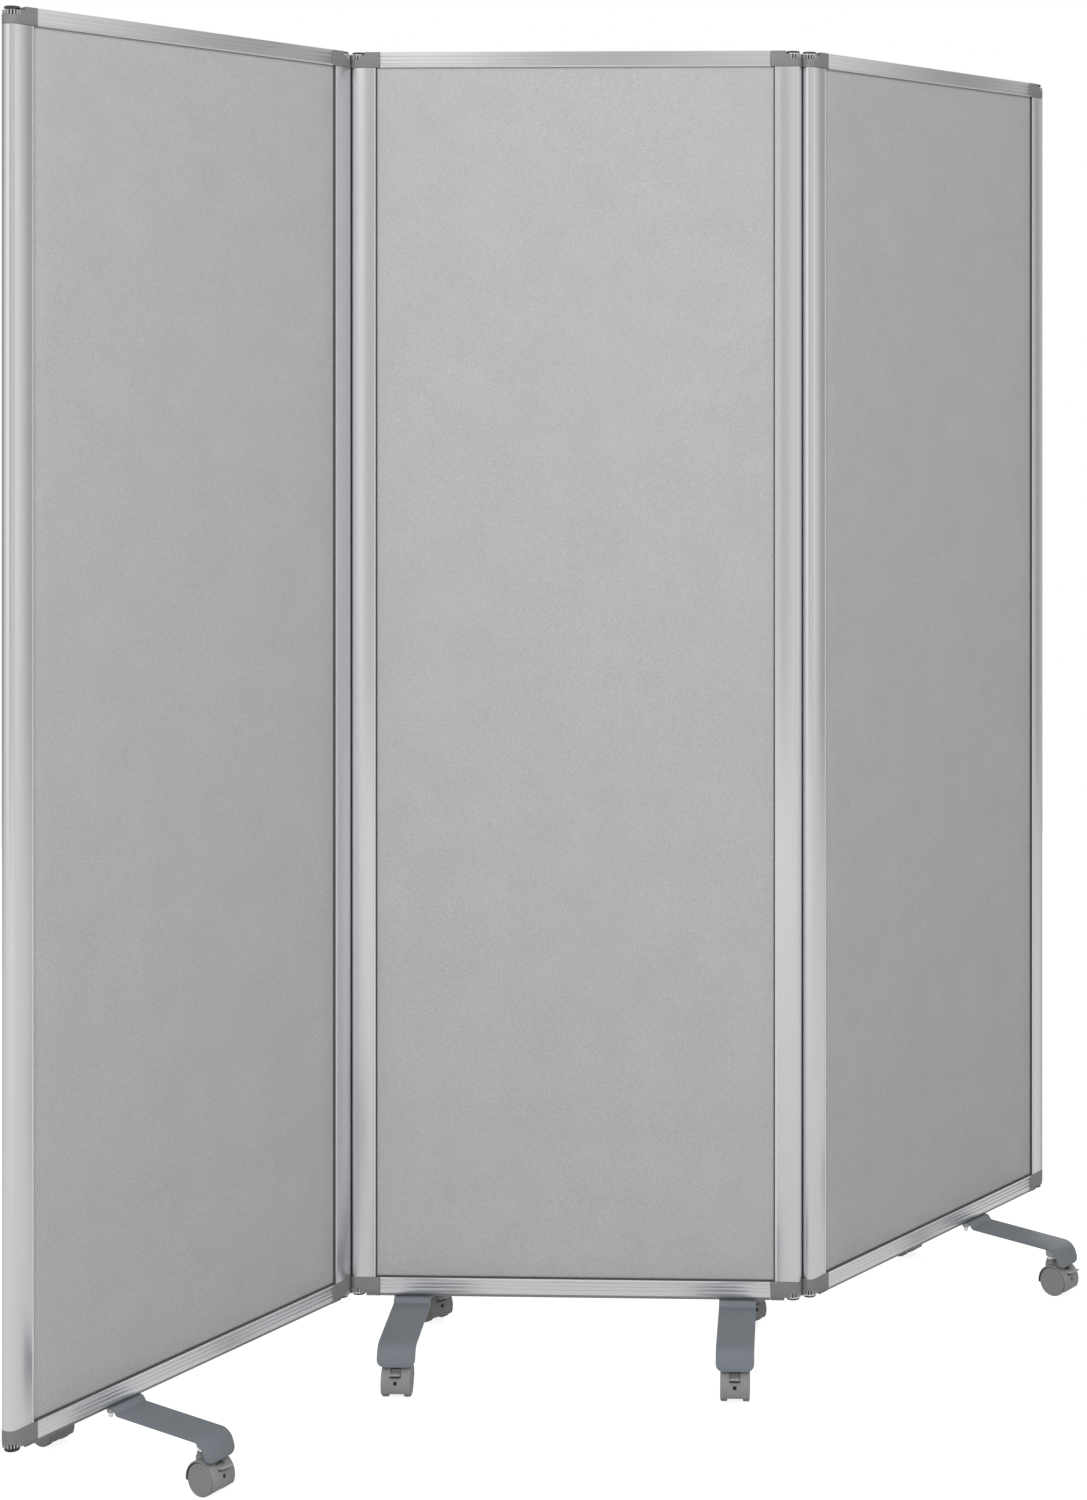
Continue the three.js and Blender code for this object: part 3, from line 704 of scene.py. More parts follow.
def rail_mesh(skirt):
    """Ribbed rail along X, with its outer edge at z = 0 and the board's channel on top."""
    top = skirt + RAIL_HEIGHT
    side = [(top, CHANNEL_HALF, 0)] + lip(top, HALF_DEPTH, CHANNEL_HALF)[1:]
    floor = HALF_DEPTH - RAIL_GROOVE_DEPTH
    for middle in reversed(RAIL_GROOVES):
        high = skirt + middle + RAIL_GROOVE_WIDTH / 2
        low = skirt + middle - RAIL_GROOVE_WIDTH / 2
        side += [(high, HALF_DEPTH, GROOVE_ROUND), (high, floor, 0)]
        side += [(low, floor, 0), (low, HALF_DEPTH, GROOVE_ROUND)]
    side += [(skirt, HALF_DEPTH, EDGE_ROUND), (skirt, 0, 0)]
    half = [(v, u) for u, v in rounded(side, closed=False)]
    floor = top - CHANNEL_DEPTH
    outline = [(CHANNEL_HALF, floor)] + half[:-1] + [(-v, u) for v, u in reversed(half[:-1])]
    outline += [(-CHANNEL_HALF, floor)]
    bore_half = HALF_DEPTH - RAIL_GROOVE_DEPTH - FRAME_WALL
    low, high = skirt + FRAME_WALL, floor - FRAME_WALL
    bore = [(-bore_half, low), (bore_half, low), (bore_half, high), (-bore_half, high)]
    return towards_x(extruded([outline[::-1], bore[::-1]], RAIL_START, RAIL_END, FINE_EDGE))


# Boards


def stations(edge, mouth, span):
    """Places of the grid's lines across a board, close together where the fabric draws in."""
    near = [edge] + [mouth + share * BOARD_DRAW_WIDTH for share in BOARD_DRAW_SHARES]
    inner = near[-1]
    count = round((span - 2 * inner) / BOARD_CELL)
    middle = [inner + (span - 2 * inner) * i / count for i in range(1, count)]
    return near + middle + [span - place for place in reversed(near)]


def board_mesh():
    """Board wrapped in fabric."""
    across = stations(BOARD_EDGE, POST_FACE, POST_SPAN)
    along = stations(RAIL_HEIGHT - CHANNEL_DEPTH + SEAM, RAIL_HEIGHT, FRAME_HEIGHT)

    def half(x, z):
        inside_posts = min(x - POST_FACE, POST_SPAN - POST_FACE - x)
        inside = min(inside_posts, z - RAIL_HEIGHT, FRAME_HEIGHT - RAIL_HEIGHT - z)
        share = min(max(inside / BOARD_DRAW_WIDTH, 0), 1)
        soft = share * share * (3 - 2 * share)
        wave = math.sin(x / BOARD_WAVE_ACROSS) * math.sin(z / BOARD_WAVE_ALONG)
        return BOARD_HALF - BOARD_DRAW * (1 - soft) - BOARD_WAVE_DEPTH * soft * (1 - wave)

    columns, rows = len(across), len(along)
    points, faces = [], []
    for side in (-1, 1):
        points += [(x, side * half(x, z), FRAME_LOW + z) for z in along for x in across]
    back = columns * rows
    for r in range(rows - 1):
        for c in range(columns - 1):
            i = r * columns + c
            quad = [i, i + 1, i + 1 + columns, i + columns]
            faces += [quad, [back + k for k in reversed(quad)]]
    rim = [*range(columns)]
    rim += [r * columns + columns - 1 for r in range(1, rows)]
    rim += [(rows - 1) * columns + c for c in range(columns - 2, -1, -1)]
    rim += [r * columns for r in range(rows - 2, 0, -1)]
    for i, here in enumerate(rim):
        after = rim[(i + 1) % len(rim)]
        faces.append([here, back + here, back + after, after])
    return mesh_from(points, faces)


def shade_trim_mesh():
    """Dark strip of painted shade between lips and fabric, on both faces, its top run tucked into
    the rail.
    """
    profile = [
        (SHADE_TRIM_GAP, SHADE_TRIM_ROOT), (SHADE_TRIM_GAP, SHADE_TRIM_TOP), (SHADE_TRIM_FIN, SHADE_TRIM_TOP),
        (SHADE_TRIM_FIN + 0.3, SHADE_TRIM_LOW + 0.4), (SHADE_TRIM_WIDTH, SHADE_TRIM_LOW), (SHADE_TRIM_WIDTH, SHADE_TRIM_ROOT),
    ]
    left, right = POST_FACE, POST_SPAN - POST_FACE
    bottom = FRAME_LOW + RAIL_HEIGHT
    top = FRAME_LOW + FRAME_HEIGHT - RAIL_HEIGHT + SHADE_TRIM_TUCKED
    count = len(profile)
    points, faces = [], []
    for side in (1, -1):
        start = len(points)
        for u, w in ((1, 1), (-1, 1), (-1, -1), (1, -1)):
            for inset, depth in profile:
                x = left + inset if u > 0 else right - inset
                z = bottom + inset if w > 0 else top - inset
                points.append((x, side * depth, z))
        for k in range(4):
            here, after = start + k * count, start + (k + 1) % 4 * count
            for i in range(count):
                j = (i + 1) % count
                quad = [here + i, here + j, after + j, after + i]
                faces.append(quad if side > 0 else quad[::-1])
    return mesh_from(points, faces)


# Corner pieces


def corner_ring(height, radius, narrow, flat):
    """Round end about the axis, cut by flats at +-narrow, then flats at +-flat to the end."""
    end = CORNER_LENGTH
    turn = math.degrees(math.asin(min(narrow / radius, 0.999)))
    outline = arc(0, 0, radius, 180 - turn, 180 + turn, POST_ARC_STEPS)
    half = [(CORNER_BLEND, flat), (end - CORNER_CHAMFER, flat), (end, flat - CORNER_CHAMFER)]
    outline += [(u, -v) for u, v in half] + half[::-1]
    return [(u, v, height) for u, v in outline]


def ring_band(outer, inner):
    """Band round the knuckle's outer side, where the toothed ring is."""
    start, end = RING_SPAN
    return arc(0, 0, outer, start, end, ARC_STEPS) + arc(0, 0, inner, end, start, ARC_STEPS)


def corner_mesh(skirt):
    """Moulded corner with the core of its hinge knuckle and a recess for the toothed ring."""
    height = skirt + RAIL_HEIGHT
    ring_top = NOTCH_HEIGHT + RING_HEIGHT
    base = CORNER_SKIRT_HALF if skirt else CORNER_HALF
    rings = [(0.0, base - 0.7), (0.7, base)]
    if skirt:
        rings += [(skirt, base), (skirt, CORNER_HALF - 0.6), (skirt + 0.2, CORNER_HALF - 0.2)]
        rings += [(skirt + 0.6, CORNER_HALF)]
    body = [corner_ring(z, min(flat + 0.35, CORNER_ROUND), flat, flat) for z, flat in rings]
    flat, seam = CORNER_HALF, CORNER_SEAM_HALF
    body += [
        corner_ring(ring_top + 0.4, CORNER_ROUND, flat, flat),
        corner_ring(height - 1.0, CORNER_ROUND, seam + 0.1, flat),
        corner_ring(height - 0.4, CORNER_ROUND, seam, flat - 0.25),
        corner_ring(height, CORNER_ROUND - 0.3, seam - 0.3, flat - 0.8),
    ]
    channel = box(
        POST_FACE - CHANNEL_DEPTH, CORNER_LENGTH + PAST, -CHANNEL_HALF, CHANNEL_HALF,
        height - CHANNEL_DEPTH, height + PAST,
    )
    notch = extruded([circle(NOTCH_RADIUS)], -PAST, NOTCH_HEIGHT)
    recess_outline = ring_band(CORNER_HALF + 3, CORNER_HALF - RING_RECESS)
    recess = extruded([recess_outline], NOTCH_HEIGHT - 1, ring_top)
    core = lathed([
        (0, CAP_THICKNESS - 1), (CORE_RADIUS, CAP_THICKNESS - 1), (CORE_RADIUS, NOTCH_HEIGHT + 1),
        (0, NOTCH_HEIGHT + 1),
    ], PART_SIDES)
    changes = [("DIFFERENCE", cut) for cut in (channel, notch, recess)]
    return combined(lofted(body), [*changes, ("UNION", core)])


def ring_shade_mesh():
    """Near-black floor of the recess behind the teeth: painted shade in the recess."""
    outline = ring_band(CORNER_HALF - RING_RECESS + 0.5, CORNER_HALF - RING_RECESS - 1)
    return extruded([outline], NOTCH_HEIGHT + 0.05, NOTCH_HEIGHT + RING_HEIGHT - 0.05)


def ring_teeth_mesh():
    """Teeth of the ring, round the outer half of the knuckle, in a lighter plastic as painted
    highlight.
    """
    outer, inner = CORNER_HALF - 0.05, CORNER_HALF - RING_RECESS
    half = math.degrees(RING_TOOTH_WIDTH / 2 / CORNER_HALF)
    low, high = NOTCH_HEIGHT + 0.1, NOTCH_HEIGHT + RING_HEIGHT - 0.1
    teeth = []
    for i in range(RING_TEETH_SHOWN):
        turn = 180 + (i - (RING_TEETH_SHOWN - 1) / 2) * 360 / RING_TEETH
        outline = arc(0, 0, outer, turn - half, turn + half, 3)
        outline += arc(0, 0, inner, turn + half, turn - half, 3)
        teeth.append(extruded([outline], low, high, 0.25))
    return joined(teeth)


def cap_mesh():
    """Round cap over the knuckle's core, with a seat for its screw. Its near-black plastic is
    painted shade.
    """
    return lathed([
        (0, 1.0), (SCREW_RADIUS, 1.0), (SCREW_RADIUS + 0.3, 0.15), (SCREW_RADIUS + 0.9, 0.0),
        (CAP_RADIUS - 1.5, 0.0), (CAP_RADIUS - 0.7, 0.2), (CAP_RADIUS - 0.15, 0.8),
        (CAP_RADIUS, 1.4), (CAP_RADIUS, CAP_THICKNESS - 0.3), (CAP_RADIUS - 0.3, CAP_THICKNESS),
        (0, CAP_THICKNESS),
    ], PART_SIDES)


def cap_screw_mesh():
    """Countersunk screw head in a knuckle's cap, with a hexagonal socket."""
    head = lathed([
        (0, 0.95), (SCREW_RADIUS - 0.05, 0.95), (SCREW_RADIUS - 0.05, 0.4),
        (SCREW_RADIUS - 0.4, 0.15), (0, 0.15),
    ], SCREW_SIDES)
    socket = extruded([hexagon(SCREW_SOCKET_RADIUS)], 0.0, 0.7)
    return combined(head, [("DIFFERENCE", socket)])


# Hinge links


def link_mesh():
    """Thin plate with an eye for each knuckle, from the origin to +X."""
    waist = math.degrees(math.asin(LINK_WAIST_HALF / LINK_RADIUS))
    outline = arc(0, 0, LINK_RADIUS, waist, 360 - waist, ARC_STEPS)
    outline += arc(LINK_SPACING, 0, LINK_RADIUS, 180 + waist, 540 - waist, ARC_STEPS)
    eyes = [arc(x, 0, LINK_EYE_RADIUS, 360, 9, 39) for x in (0, LINK_SPACING)]
    return extruded([outline, *eyes], 0, LINK_THICKNESS, FINE_EDGE)


def gap_shade_mesh():
    """Thin dark strip of painted shade that stands between two hinged posts, square to the links.
    """
    half, thin = GAP_SHADE_HALF_WIDTH, GAP_SHADE_HALF_THICKNESS
    rounds = [(-thin, -half, 0.5), (thin, -half, 0.5), (thin, half, 0.5), (-thin, half, 0.5)]
    return extruded([rounded(rounds)], LINK_LOW + LINK_THICKNESS, LINK_HIGH)


# Feet


def foot_path():
    """Top of the strip in (y, z) from its front end to its rear one."""
    run = (FOOT_ARM_TOP - FOOT_END_HEIGHT) / math.tan(math.radians(FOOT_BEND_DEGREES))
    half = [
        (FOOT_CROWN_HALF, FOOT_TOP, FOOT_STEP_ROUND),
        (FOOT_STEP_END, FOOT_TOP - FOOT_STEP, FOOT_STEP_ROUND - FOOT_THICKNESS + 0.3),
        (FOOT_REACH - run, FOOT_ARM_TOP, FOOT_BEND_RADIUS),
        (FOOT_REACH, FOOT_END_HEIGHT, 0),
    ]
    return rounded([(-y, z, r) for y, z, r in reversed(half)] + half, closed=False)


def foot_section(half_width):
    """Round-edged section of the strip as (across, down from the top surface)."""
    r, t = FOOT_EDGE_ROUND, FOOT_THICKNESS
    return rounded([
        (-half_width, 0, r), (-half_width, t, r), (half_width, t, r), (half_width, 0, r),
    ])


def foot_mesh():
    """Strip bent under the rail, with rounded corners at its ends."""
    path = foot_path()
    dense = []
    for (y0, z0), (y1, z1) in zip(path, path[1:]):
        at_end = min(z0, z1) < FOOT_END_HEIGHT + FOOT_CORNER_RADIUS
        slices = FOOT_END_SLICES if at_end else 1
        for i in range(slices):
            dense.append((y0 + (y1 - y0) * i / slices, z0 + (z1 - z0) * i / slices))
    dense.append(path[-1])
    rings = []
    for i, (y, z) in enumerate(dense):
        before = Vector(dense[max(i - 1, 0)])
        after = Vector(dense[min(i + 1, len(dense) - 1)])
        along = (after - before).normalized()
        down = Vector((along.y, -along.x))
        radius = FOOT_CORNER_RADIUS
        rise = min(z - FOOT_END_HEIGHT, radius)
        drawn = radius - math.sqrt(radius**2 - (radius - rise) ** 2)
        section = foot_section(FOOT_HALF_WIDTH - drawn)
        rings.append([(u, y + down.x * t, z + down.y * t) for u, t in section])
    return lofted(rings)


def nut_mesh():
    """Hexagonal socket nut under the strip, round-shouldered at its foot and sunk into the weld."""
    low, top = SOCKET_LOW, FOOT_ARM_TOP - FOOT_THICKNESS / 2
    bore = arc(0, 0, STEM_RADIUS + SEAM, 360, 15, 23)
    body = extruded([hexagon(SOCKET_RADIUS), bore], low, top)
    shoulder = lathed([
        (0, low), (SOCKET_RADIUS - 1.1, low), (SOCKET_RADIUS + 0.1, low + 0.9),
        (SOCKET_RADIUS + 0.1, top), (0, top),
    ], PART_SIDES)
    return combined(body, [("INTERSECT", shoulder)])


def bolt_nut_mesh():
    """Hexagonal nut on the screw under the crown."""
    top = FOOT_TOP - FOOT_THICKNESS
    return extruded([hexagon(BOLT_NUT_RADIUS)], top - BOLT_NUT_HEIGHT, top + 0.5, 0.5)


def bolt_mesh():
    """End of the screw that stands out of its nut, with a rounded tip."""
    low = FOOT_TOP - FOOT_THICKNESS - BOLT_HEIGHT
    top = low + BOLT_HEIGHT - BOLT_NUT_HEIGHT + 1.0
    return lathed([
        (0, low), (BOLT_RADIUS - 1.4, low), (BOLT_RADIUS - 0.5, low + 0.5),
        (BOLT_RADIUS, low + 1.4), (BOLT_RADIUS, top), (0, top),
    ], SCREW_SIDES)


# Casters


def about_axle(radius, start, end, steps=PART_SIDES):
    """Arc about the axle, in (y, z)."""
    return arc(-CASTER_TRAIL, WHEEL_RADIUS, radius, start, end, steps)


def turned_to_x(profile, sides=SIDES):
    """A profile (radius, x) turned about the X axis."""
    mesh = lathed(profile, sides)
    mesh.transform(Matrix.Rotation(math.pi / 2, 4, "Y"))
    return mesh


def rod_x(radius, low, high, y, z, sides=SIDES):
    rod = turned_to_x([(0, low), (radius, low), (radius, high), (0, high)], sides)
    return shifted(rod, 0, y, z)


def housing_mesh():
    """Hood over two wheels, with a web between them, a neck, a lever slot and a square hole."""
    outline = about_axle(HOOD_RADIUS, HOOD_START, HOOD_END)
    hood = towards_x(extruded([outline], -CASTER_HALF, CASTER_HALF, HOOD_ROUND))
    neck_low = WHEEL_RADIUS + POCKET_RADIUS / 2
    neck_top = SOCKET_LOW - SEAM - COLLAR_HEIGHT
    neck = lathed([
        (0, neck_low), (NECK_FLARE, neck_low), (NECK_FLARE, NECK_FLARE_TOP),
        (NECK_FLARE - 0.9, NECK_FLARE_TOP + 1.5), (NECK_RADIUS, NECK_FLARE_TOP + 3.5),
        (NECK_RADIUS, neck_top - 0.5), (NECK_RADIUS - 0.5, neck_top), (0, neck_top),
    ], PART_SIDES)
    slot = box(-SLOT_HALF, SLOT_HALF, HOOD_FRONT - PAST, PIVOT_Y + 5, SLOT_LOW, SLOT_HIGH)
    peephole = box(
        -PEEPHOLE_HALF, PEEPHOLE_HALF, HOOD_FRONT - PAST, HOOD_FRONT + PEEPHOLE_DEPTH,
        PEEPHOLE_HEIGHT - PEEPHOLE_HALF, PEEPHOLE_HEIGHT + PEEPHOLE_HALF,
    )
    pockets = [
        rod_x(POCKET_RADIUS, low, high, -CASTER_TRAIL, WHEEL_RADIUS)
        for low, high in (
            (POCKET_INNER, CASTER_HALF + PAST), (-CASTER_HALF - PAST, -POCKET_INNER),
        )
    ]
    turn = math.degrees(math.asin((WHEEL_RADIUS - WEB_UNDERSIDE) / POCKET_RADIUS))
    below = about_axle(POCKET_RADIUS, 180 + turn, 360 - turn, ARC_STEPS)
    hollow = towards_x(extruded([below], -POCKET_INNER - 0.1, POCKET_INNER + 0.1))
    bore = rod_x(
        AXLE_RADIUS + SEAM, -CASTER_HALF, CASTER_HALF, -CASTER_TRAIL, WHEEL_RADIUS, SCREW_SIDES,
    )
    pin_half = LEVER_PIN_HALF + SEAM
    pin = rod_x(LEVER_PIN_RADIUS + SEAM, -pin_half, pin_half, PIVOT_Y, PIVOT_Z, PIN_SIDES)
    changes = [("DIFFERENCE", cut) for cut in (*pockets, hollow)]
    changes.append(("UNION", neck))
    changes += [("DIFFERENCE", cut) for cut in (slot, peephole, bore, pin)]
    return combined(hood, changes)


def pocket_shade_mesh():
    """Near-black painted shade in the two pockets, between the hood and the wheels, and in the
    square hole.
    """
    outer, inner = POCKET_RADIUS + 0.05, POCKET_RADIUS - POCKET_SHADE_THICKNESS
    start, end = HOOD_START + 1, HOOD_END - 1
    outline = about_axle(outer, start, end) + about_axle(inner, end, start)
    near, far = POCKET_INNER + 0.3, CASTER_HALF - 0.6
    pocket_shades = [
        towards_x(extruded([outline], low, high)) for low, high in ((near, far), (-far, -near))
    ]
    half = PEEPHOLE_HALF - 0.05
    hole_shade = box(
        -half, half, HOOD_FRONT + 1.6, HOOD_FRONT + PEEPHOLE_DEPTH - 0.1,
        PEEPHOLE_HEIGHT - half, PEEPHOLE_HEIGHT + half,
    )
    return joined([*pocket_shades, hole_shade])


def stem_mesh():
    """Bright collar and stem above the neck."""
    collar_top = SOCKET_LOW - SEAM
    low, top = collar_top - COLLAR_HEIGHT, FOOT_ARM_TOP - FOOT_THICKNESS + 1.3
    return lathed([
        (0, low), (COLLAR_RADIUS - 0.4, low), (COLLAR_RADIUS, low + 0.4),
        (COLLAR_RADIUS, collar_top - 0.4), (COLLAR_RADIUS - 0.4, collar_top),
        (STEM_RADIUS, collar_top), (STEM_RADIUS, top), (0, top),
    ], STEM_SIDES)


def wheels_mesh():
    """Two discs on an axle along X, with rounded treads and a shallow ring on each face."""
    half = [
        (AXLE_RADIUS, WHEEL_INNER),
        (WHEEL_RADIUS - 0.8, WHEEL_INNER),
        (WHEEL_RADIUS, WHEEL_INNER + 0.8),
        (WHEEL_RADIUS, CASTER_HALF - 1.9),
        (WHEEL_RADIUS - 0.2, CASTER_HALF - 1.1),
        (WHEEL_RADIUS - 0.8, CASTER_HALF - 0.4),
        (WHEEL_RADIUS - 1.7, CASTER_HALF),
        (WHEEL_RADIUS - 2.9, CASTER_HALF),
        (WHEEL_RADIUS - 3.2, CASTER_HALF - 0.35),
        (WHEEL_RADIUS - 5.0, CASTER_HALF - 0.35),
        (AXLE_RADIUS + 2.2, CASTER_HALF - 0.1),
        (AXLE_RADIUS + 1.4, CASTER_HALF - 0.1),
        (AXLE_RADIUS + 1.2, CASTER_HALF - 0.5),
        (0, CASTER_HALF - 0.5),
    ]
    return turned_to_x([(r, -x) for r, x in reversed(half)] + half)


def lever_mesh():
    """Brake lever about its pivot, with its tab towards -Y."""
    t, tip, half = LEVER_HALF_THICKNESS, -LEVER_REACH, LEVER_HALF_WIDTH
    upper, lower = (tip + t, LEVER_RISE + 0.55), (tip + t, LEVER_RISE - 0.9)
    outline = [(0, -t), (0, t), (tip / 2, t)]
    outline += quadratic((tip / 2, t), (tip + 3 * t, LEVER_RISE + t / 2), upper)
    outline += quadratic(upper, (tip - 0.1, LEVER_RISE), lower)
    outline += quadratic(lower, (tip + 3 * t, 0), (tip / 2, -t))
    tab = towards_x(extruded([outline], -half, half, 0.4))
    boss = rod_x(LEVER_BOSS_RADIUS, -half, half, 0, 0, SCREW_SIDES)
    pin = rod_x(LEVER_PIN_RADIUS, -LEVER_PIN_HALF, LEVER_PIN_HALF, 0, 0, PIN_SIDES)
    return combined(tab, [("UNION", boss), ("UNION", pin)])


shapes = {
    "post": ready(post_mesh(), upright_metal),
    "top_rail": ready(rail_mesh(0.0), level_metal),
    "bottom_rail": ready(rail_mesh(SKIRT_HEIGHT), level_metal),
    "post_lip": ready(post_lip_mesh(), upright_lip_highlight_metal),
    "top_rail_lip": ready(rail_lip_mesh(0.0), level_lip_highlight_metal),
    "bottom_rail_lip": ready(rail_lip_mesh(SKIRT_HEIGHT), level_lip_highlight_metal),
    "skirt": ready(skirt_mesh(), skirt_shade_metal),
    "board": ready(board_mesh(), fabric),
    "shade_trim": ready(shade_trim_mesh(), trim_painted_shade),
    "top_corner": ready(corner_mesh(0.0), corner_plastic),
    "bottom_corner": ready(corner_mesh(SKIRT_HEIGHT), corner_plastic),
    "cap": ready(cap_mesh(), cap_shade_plastic),
    "cap_screw": ready(cap_screw_mesh(), link_metal),
    "ring_back": ready(ring_shade_mesh(), recess_painted_shade),
    "ring_teeth": ready(ring_teeth_mesh(), tooth_highlight_plastic),
    "link": ready(link_mesh(), link_metal),
    "gap_shade": ready(gap_shade_mesh(), gap_painted_shade),
    "foot": ready(foot_mesh(), paint),
    "nut": ready(nut_mesh(), nut_metal),
    "bolt_nut": ready(bolt_nut_mesh(), nut_metal),
    "bolt": ready(bolt_mesh(), link_metal),
    "housing": ready(housing_mesh(), caster_plastic),
    "pocket_shade": ready(pocket_shade_mesh(), recess_painted_shade),
    "stem": ready(stem_mesh(), link_metal),
    "wheels": ready(wheels_mesh(), wheel_plastic),
    "lever": ready(lever_mesh(), lever_plastic),
}


# Places, from the frame's joints

joints = {joint["name"]: joint for joint in frame["joints"]}


def joint_place(name):
    return Vector(joints[name]["pos_m"])


def placed(point, along, lift=0.0):
    """The frame of a piece at a point, with its X axis level along a direction."""
    x, y = along.x, along.y
    size = math.hypot(x, y)
    x, y = x / size, y / size
    return Matrix((
        (x, -y, 0, point.x),
        (y, x, 0, point.y),
        (0, 0, 1, lift * MM),
        (0, 0, 0, 1),
    ))


def add(name, shape, spot, like, replaced=True):
    """Places a piece on the body of a CAD node, and in that node's place unless it says not."""
    piece = bpy.data.objects.new(name, shapes[shape])
    bpy.context.scene.collection.objects.link(piece)
    piece.matrix_world = spot
    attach(piece, frame["nodes"][like]["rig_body"])
    if replaced:
        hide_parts(like)


def add_detail(name, shape, spot, like):
    add(name, shape, spot, like, replaced=False)


def shift(x, y, z):
    return Matrix.Translation((x * MM, y * MM, z * MM))


def add_panel(panel, ends, spot):
    """Board, two rails, two posts and four corners of one panel."""
    turn_over = Matrix.Rotation(math.pi, 4, "X")
    low, high = shift(0, 0, PANEL_BOTTOM), shift(0, 0, PANEL_TOP)
    board = f"{panel}_board"
    add(f"{board}_cover", "board", spot, board)
    # Dark strip of painted shade between the board and the lips
    add_detail(f"{board}_trim", "shade_trim", spot, board)
    for level, place in (("top", spot @ high @ turn_over), ("bottom", spot @ low)):
        rail = f"{panel}_{level}_rail"
        add(f"{rail}_profile", f"{level}_rail", place, rail)
        # Lip beads in a lighter metal, as painted highlight
        add_detail(f"{rail}_lip", f"{level}_rail_lip", place, rail)
    bottom_rail = f"{panel}_bottom_rail"
    # Skirt in a darker metal, as painted shade
    add_detail(f"{bottom_rail}_skirt", "skirt", spot @ low, bottom_rail)
    for i, end in enumerate(ends):
        name = f"{panel}_{end}"
        axis = spot @ shift(i * POST_SPAN, 0, 0) @ Matrix.Rotation(i * math.pi, 4, "Z")
        post = f"{name}_post"
        add(f"{post}_profile", "post", axis, post)
        # Lip beads in a lighter metal, as painted highlight
        add_detail(f"{post}_lip", "post_lip", axis, post)
        for level, place in (("bottom", axis @ low), ("top", axis @ high @ turn_over)):
            corner = f"{name}_{level}_corner"
            add(f"{corner}_moulding", f"{level}_corner", place, corner)
            # The ring's recess floor is painted shade, its teeth a painted highlight and its cap
            # painted shade
            for part in ("cap", "ring_back", "ring_teeth"):
                add_detail(f"{corner}_{part}", part, place, corner)
            add_detail(f"{corner}_screw", "cap_screw", place, corner)


def add_foot(foot, along):
    """Strip, its bolts and nuts, and its two casters."""
    stems = [joint_place(f"{foot}_{end}_caster_turn") for end in ("front", "rear")]
    spot = placed((stems[0] + stems[1]) / 2, along)
    add(f"{foot}_strip", "foot", spot, foot)
    for side, x in (("left", -BOLT_SIDE), ("right", BOLT_SIDE)):
        for part in ("bolt", "bolt_nut"):
            add_detail(f"{foot}_{side}_{part}", part, spot @ shift(x, 0, 0), foot)
    for end, stem in zip(("front", "rear"), stems):
        caster = f"{foot}_{end}_caster"
        add_detail(f"{foot}_{end}_nut", "nut", placed(stem, along), foot)
        turn = Vector(joints[f"{caster}_roll"]["axis"])
        under_stem = placed(stem, turn)
        housing = f"{caster}_housing"
        add(f"{caster}_hood", "housing", under_stem, housing)
        # Painted shade in the pockets and the square hole
        add_detail(f"{caster}_liner", "pocket_shade", under_stem, housing)
        add_detail(f"{caster}_stem", "stem", under_stem, housing)
        axle = joint_place(f"{caster}_roll")
        on_axle = placed(axle, turn, axle.z / MM)
        add(f"{caster}_discs", "wheels", on_axle, f"{caster}_wheels")
        pivot = joint_place(f"{caster}_press")
        on_pivot = placed(pivot, turn, pivot.z / MM)
        add(f"{caster}_brake_tab", "lever", on_pivot, f"{caster}_brake_lever")


def add_links(side, centre_axis, panel_axis):
    """The two links of a hinge in the knuckles' notches, and the dark strip of painted shade
    between them.
    """
    along = panel_axis - centre_axis
    for level, height in (("bottom", LINK_LOW), ("top", LINK_HIGH)):
        link = f"{side}_hinge_{level}_link"
        add(f"{link}_plate", "link", placed(centre_axis, along, height), link)
    middle = placed((centre_axis + panel_axis) / 2, along)
    bottom_link = f"{side}_hinge_bottom_link"
    # Dark strip of painted shade in the gap between the posts
    add_detail(f"{side}_hinge_seal", "gap_shade", middle, bottom_link)


centre_left = joint_place("left_link_fold")
centre_right = joint_place("right_link_fold")
left_inner = joint_place("left_panel_fold")
right_inner = joint_place("right_panel_fold")
along_centre = centre_right - centre_left
along_left = Vector(joints["left_foot_front_caster_roll"]["axis"])
along_right = Vector(joints["right_foot_front_caster_roll"]["axis"])
left_outer = left_inner - along_left * (POST_SPAN * MM)

add_panel("centre", ("left", "right"), placed(centre_left, along_centre))
add_panel("left", ("outer", "inner"), placed(left_outer, along_left))
add_panel("right", ("inner", "outer"), placed(right_inner, along_right))
add_links("left", centre_left, left_inner)
add_links("right", centre_right, right_inner)
add_foot("centre_left_foot", along_centre)
add_foot("centre_right_foot", along_centre)
add_foot("left_foot", along_left)
add_foot("right_foot", along_right)


# Stage, light and camera

FLOOR_RADIUS = 4.0
FLOOR_COLOUR = 0.5
FLOOR_GLOW = 0.85
FLOOR_MIRRORED = 0.36
FILL = 0.52
HORIZON = (-0.42, -0.08)
BELOW_HORIZON = 0.42
LAMP_SIZE = 2.5
LAMP_TARGET = (0, 0, 0.9)

# Brightness of the studio as metal shows it, by degrees round the vertical from +X
STUDIO = (
    (0, 0.7), (8, 0.6), (14, 0.5), (18, 0.42), (22, 0.30), (28, 0.25), (36, 0.35), (48, 0.8),
    (60, 0.95), (80, 0.95), (90, 0.55), (105, 0.9), (125, 0.5), (140, 0.3), (165, 0.3), (185, 0.5),
    (200, 0.72), (225, 0.85), (246, 1.15), (256, 0.62), (264, 0.44), (272, 0.52), (284, 0.62),
    (296, 0.95), (306, 0.5), (320, 0.42), (332, 0.8), (345, 0.95), (360, 0.7),
)


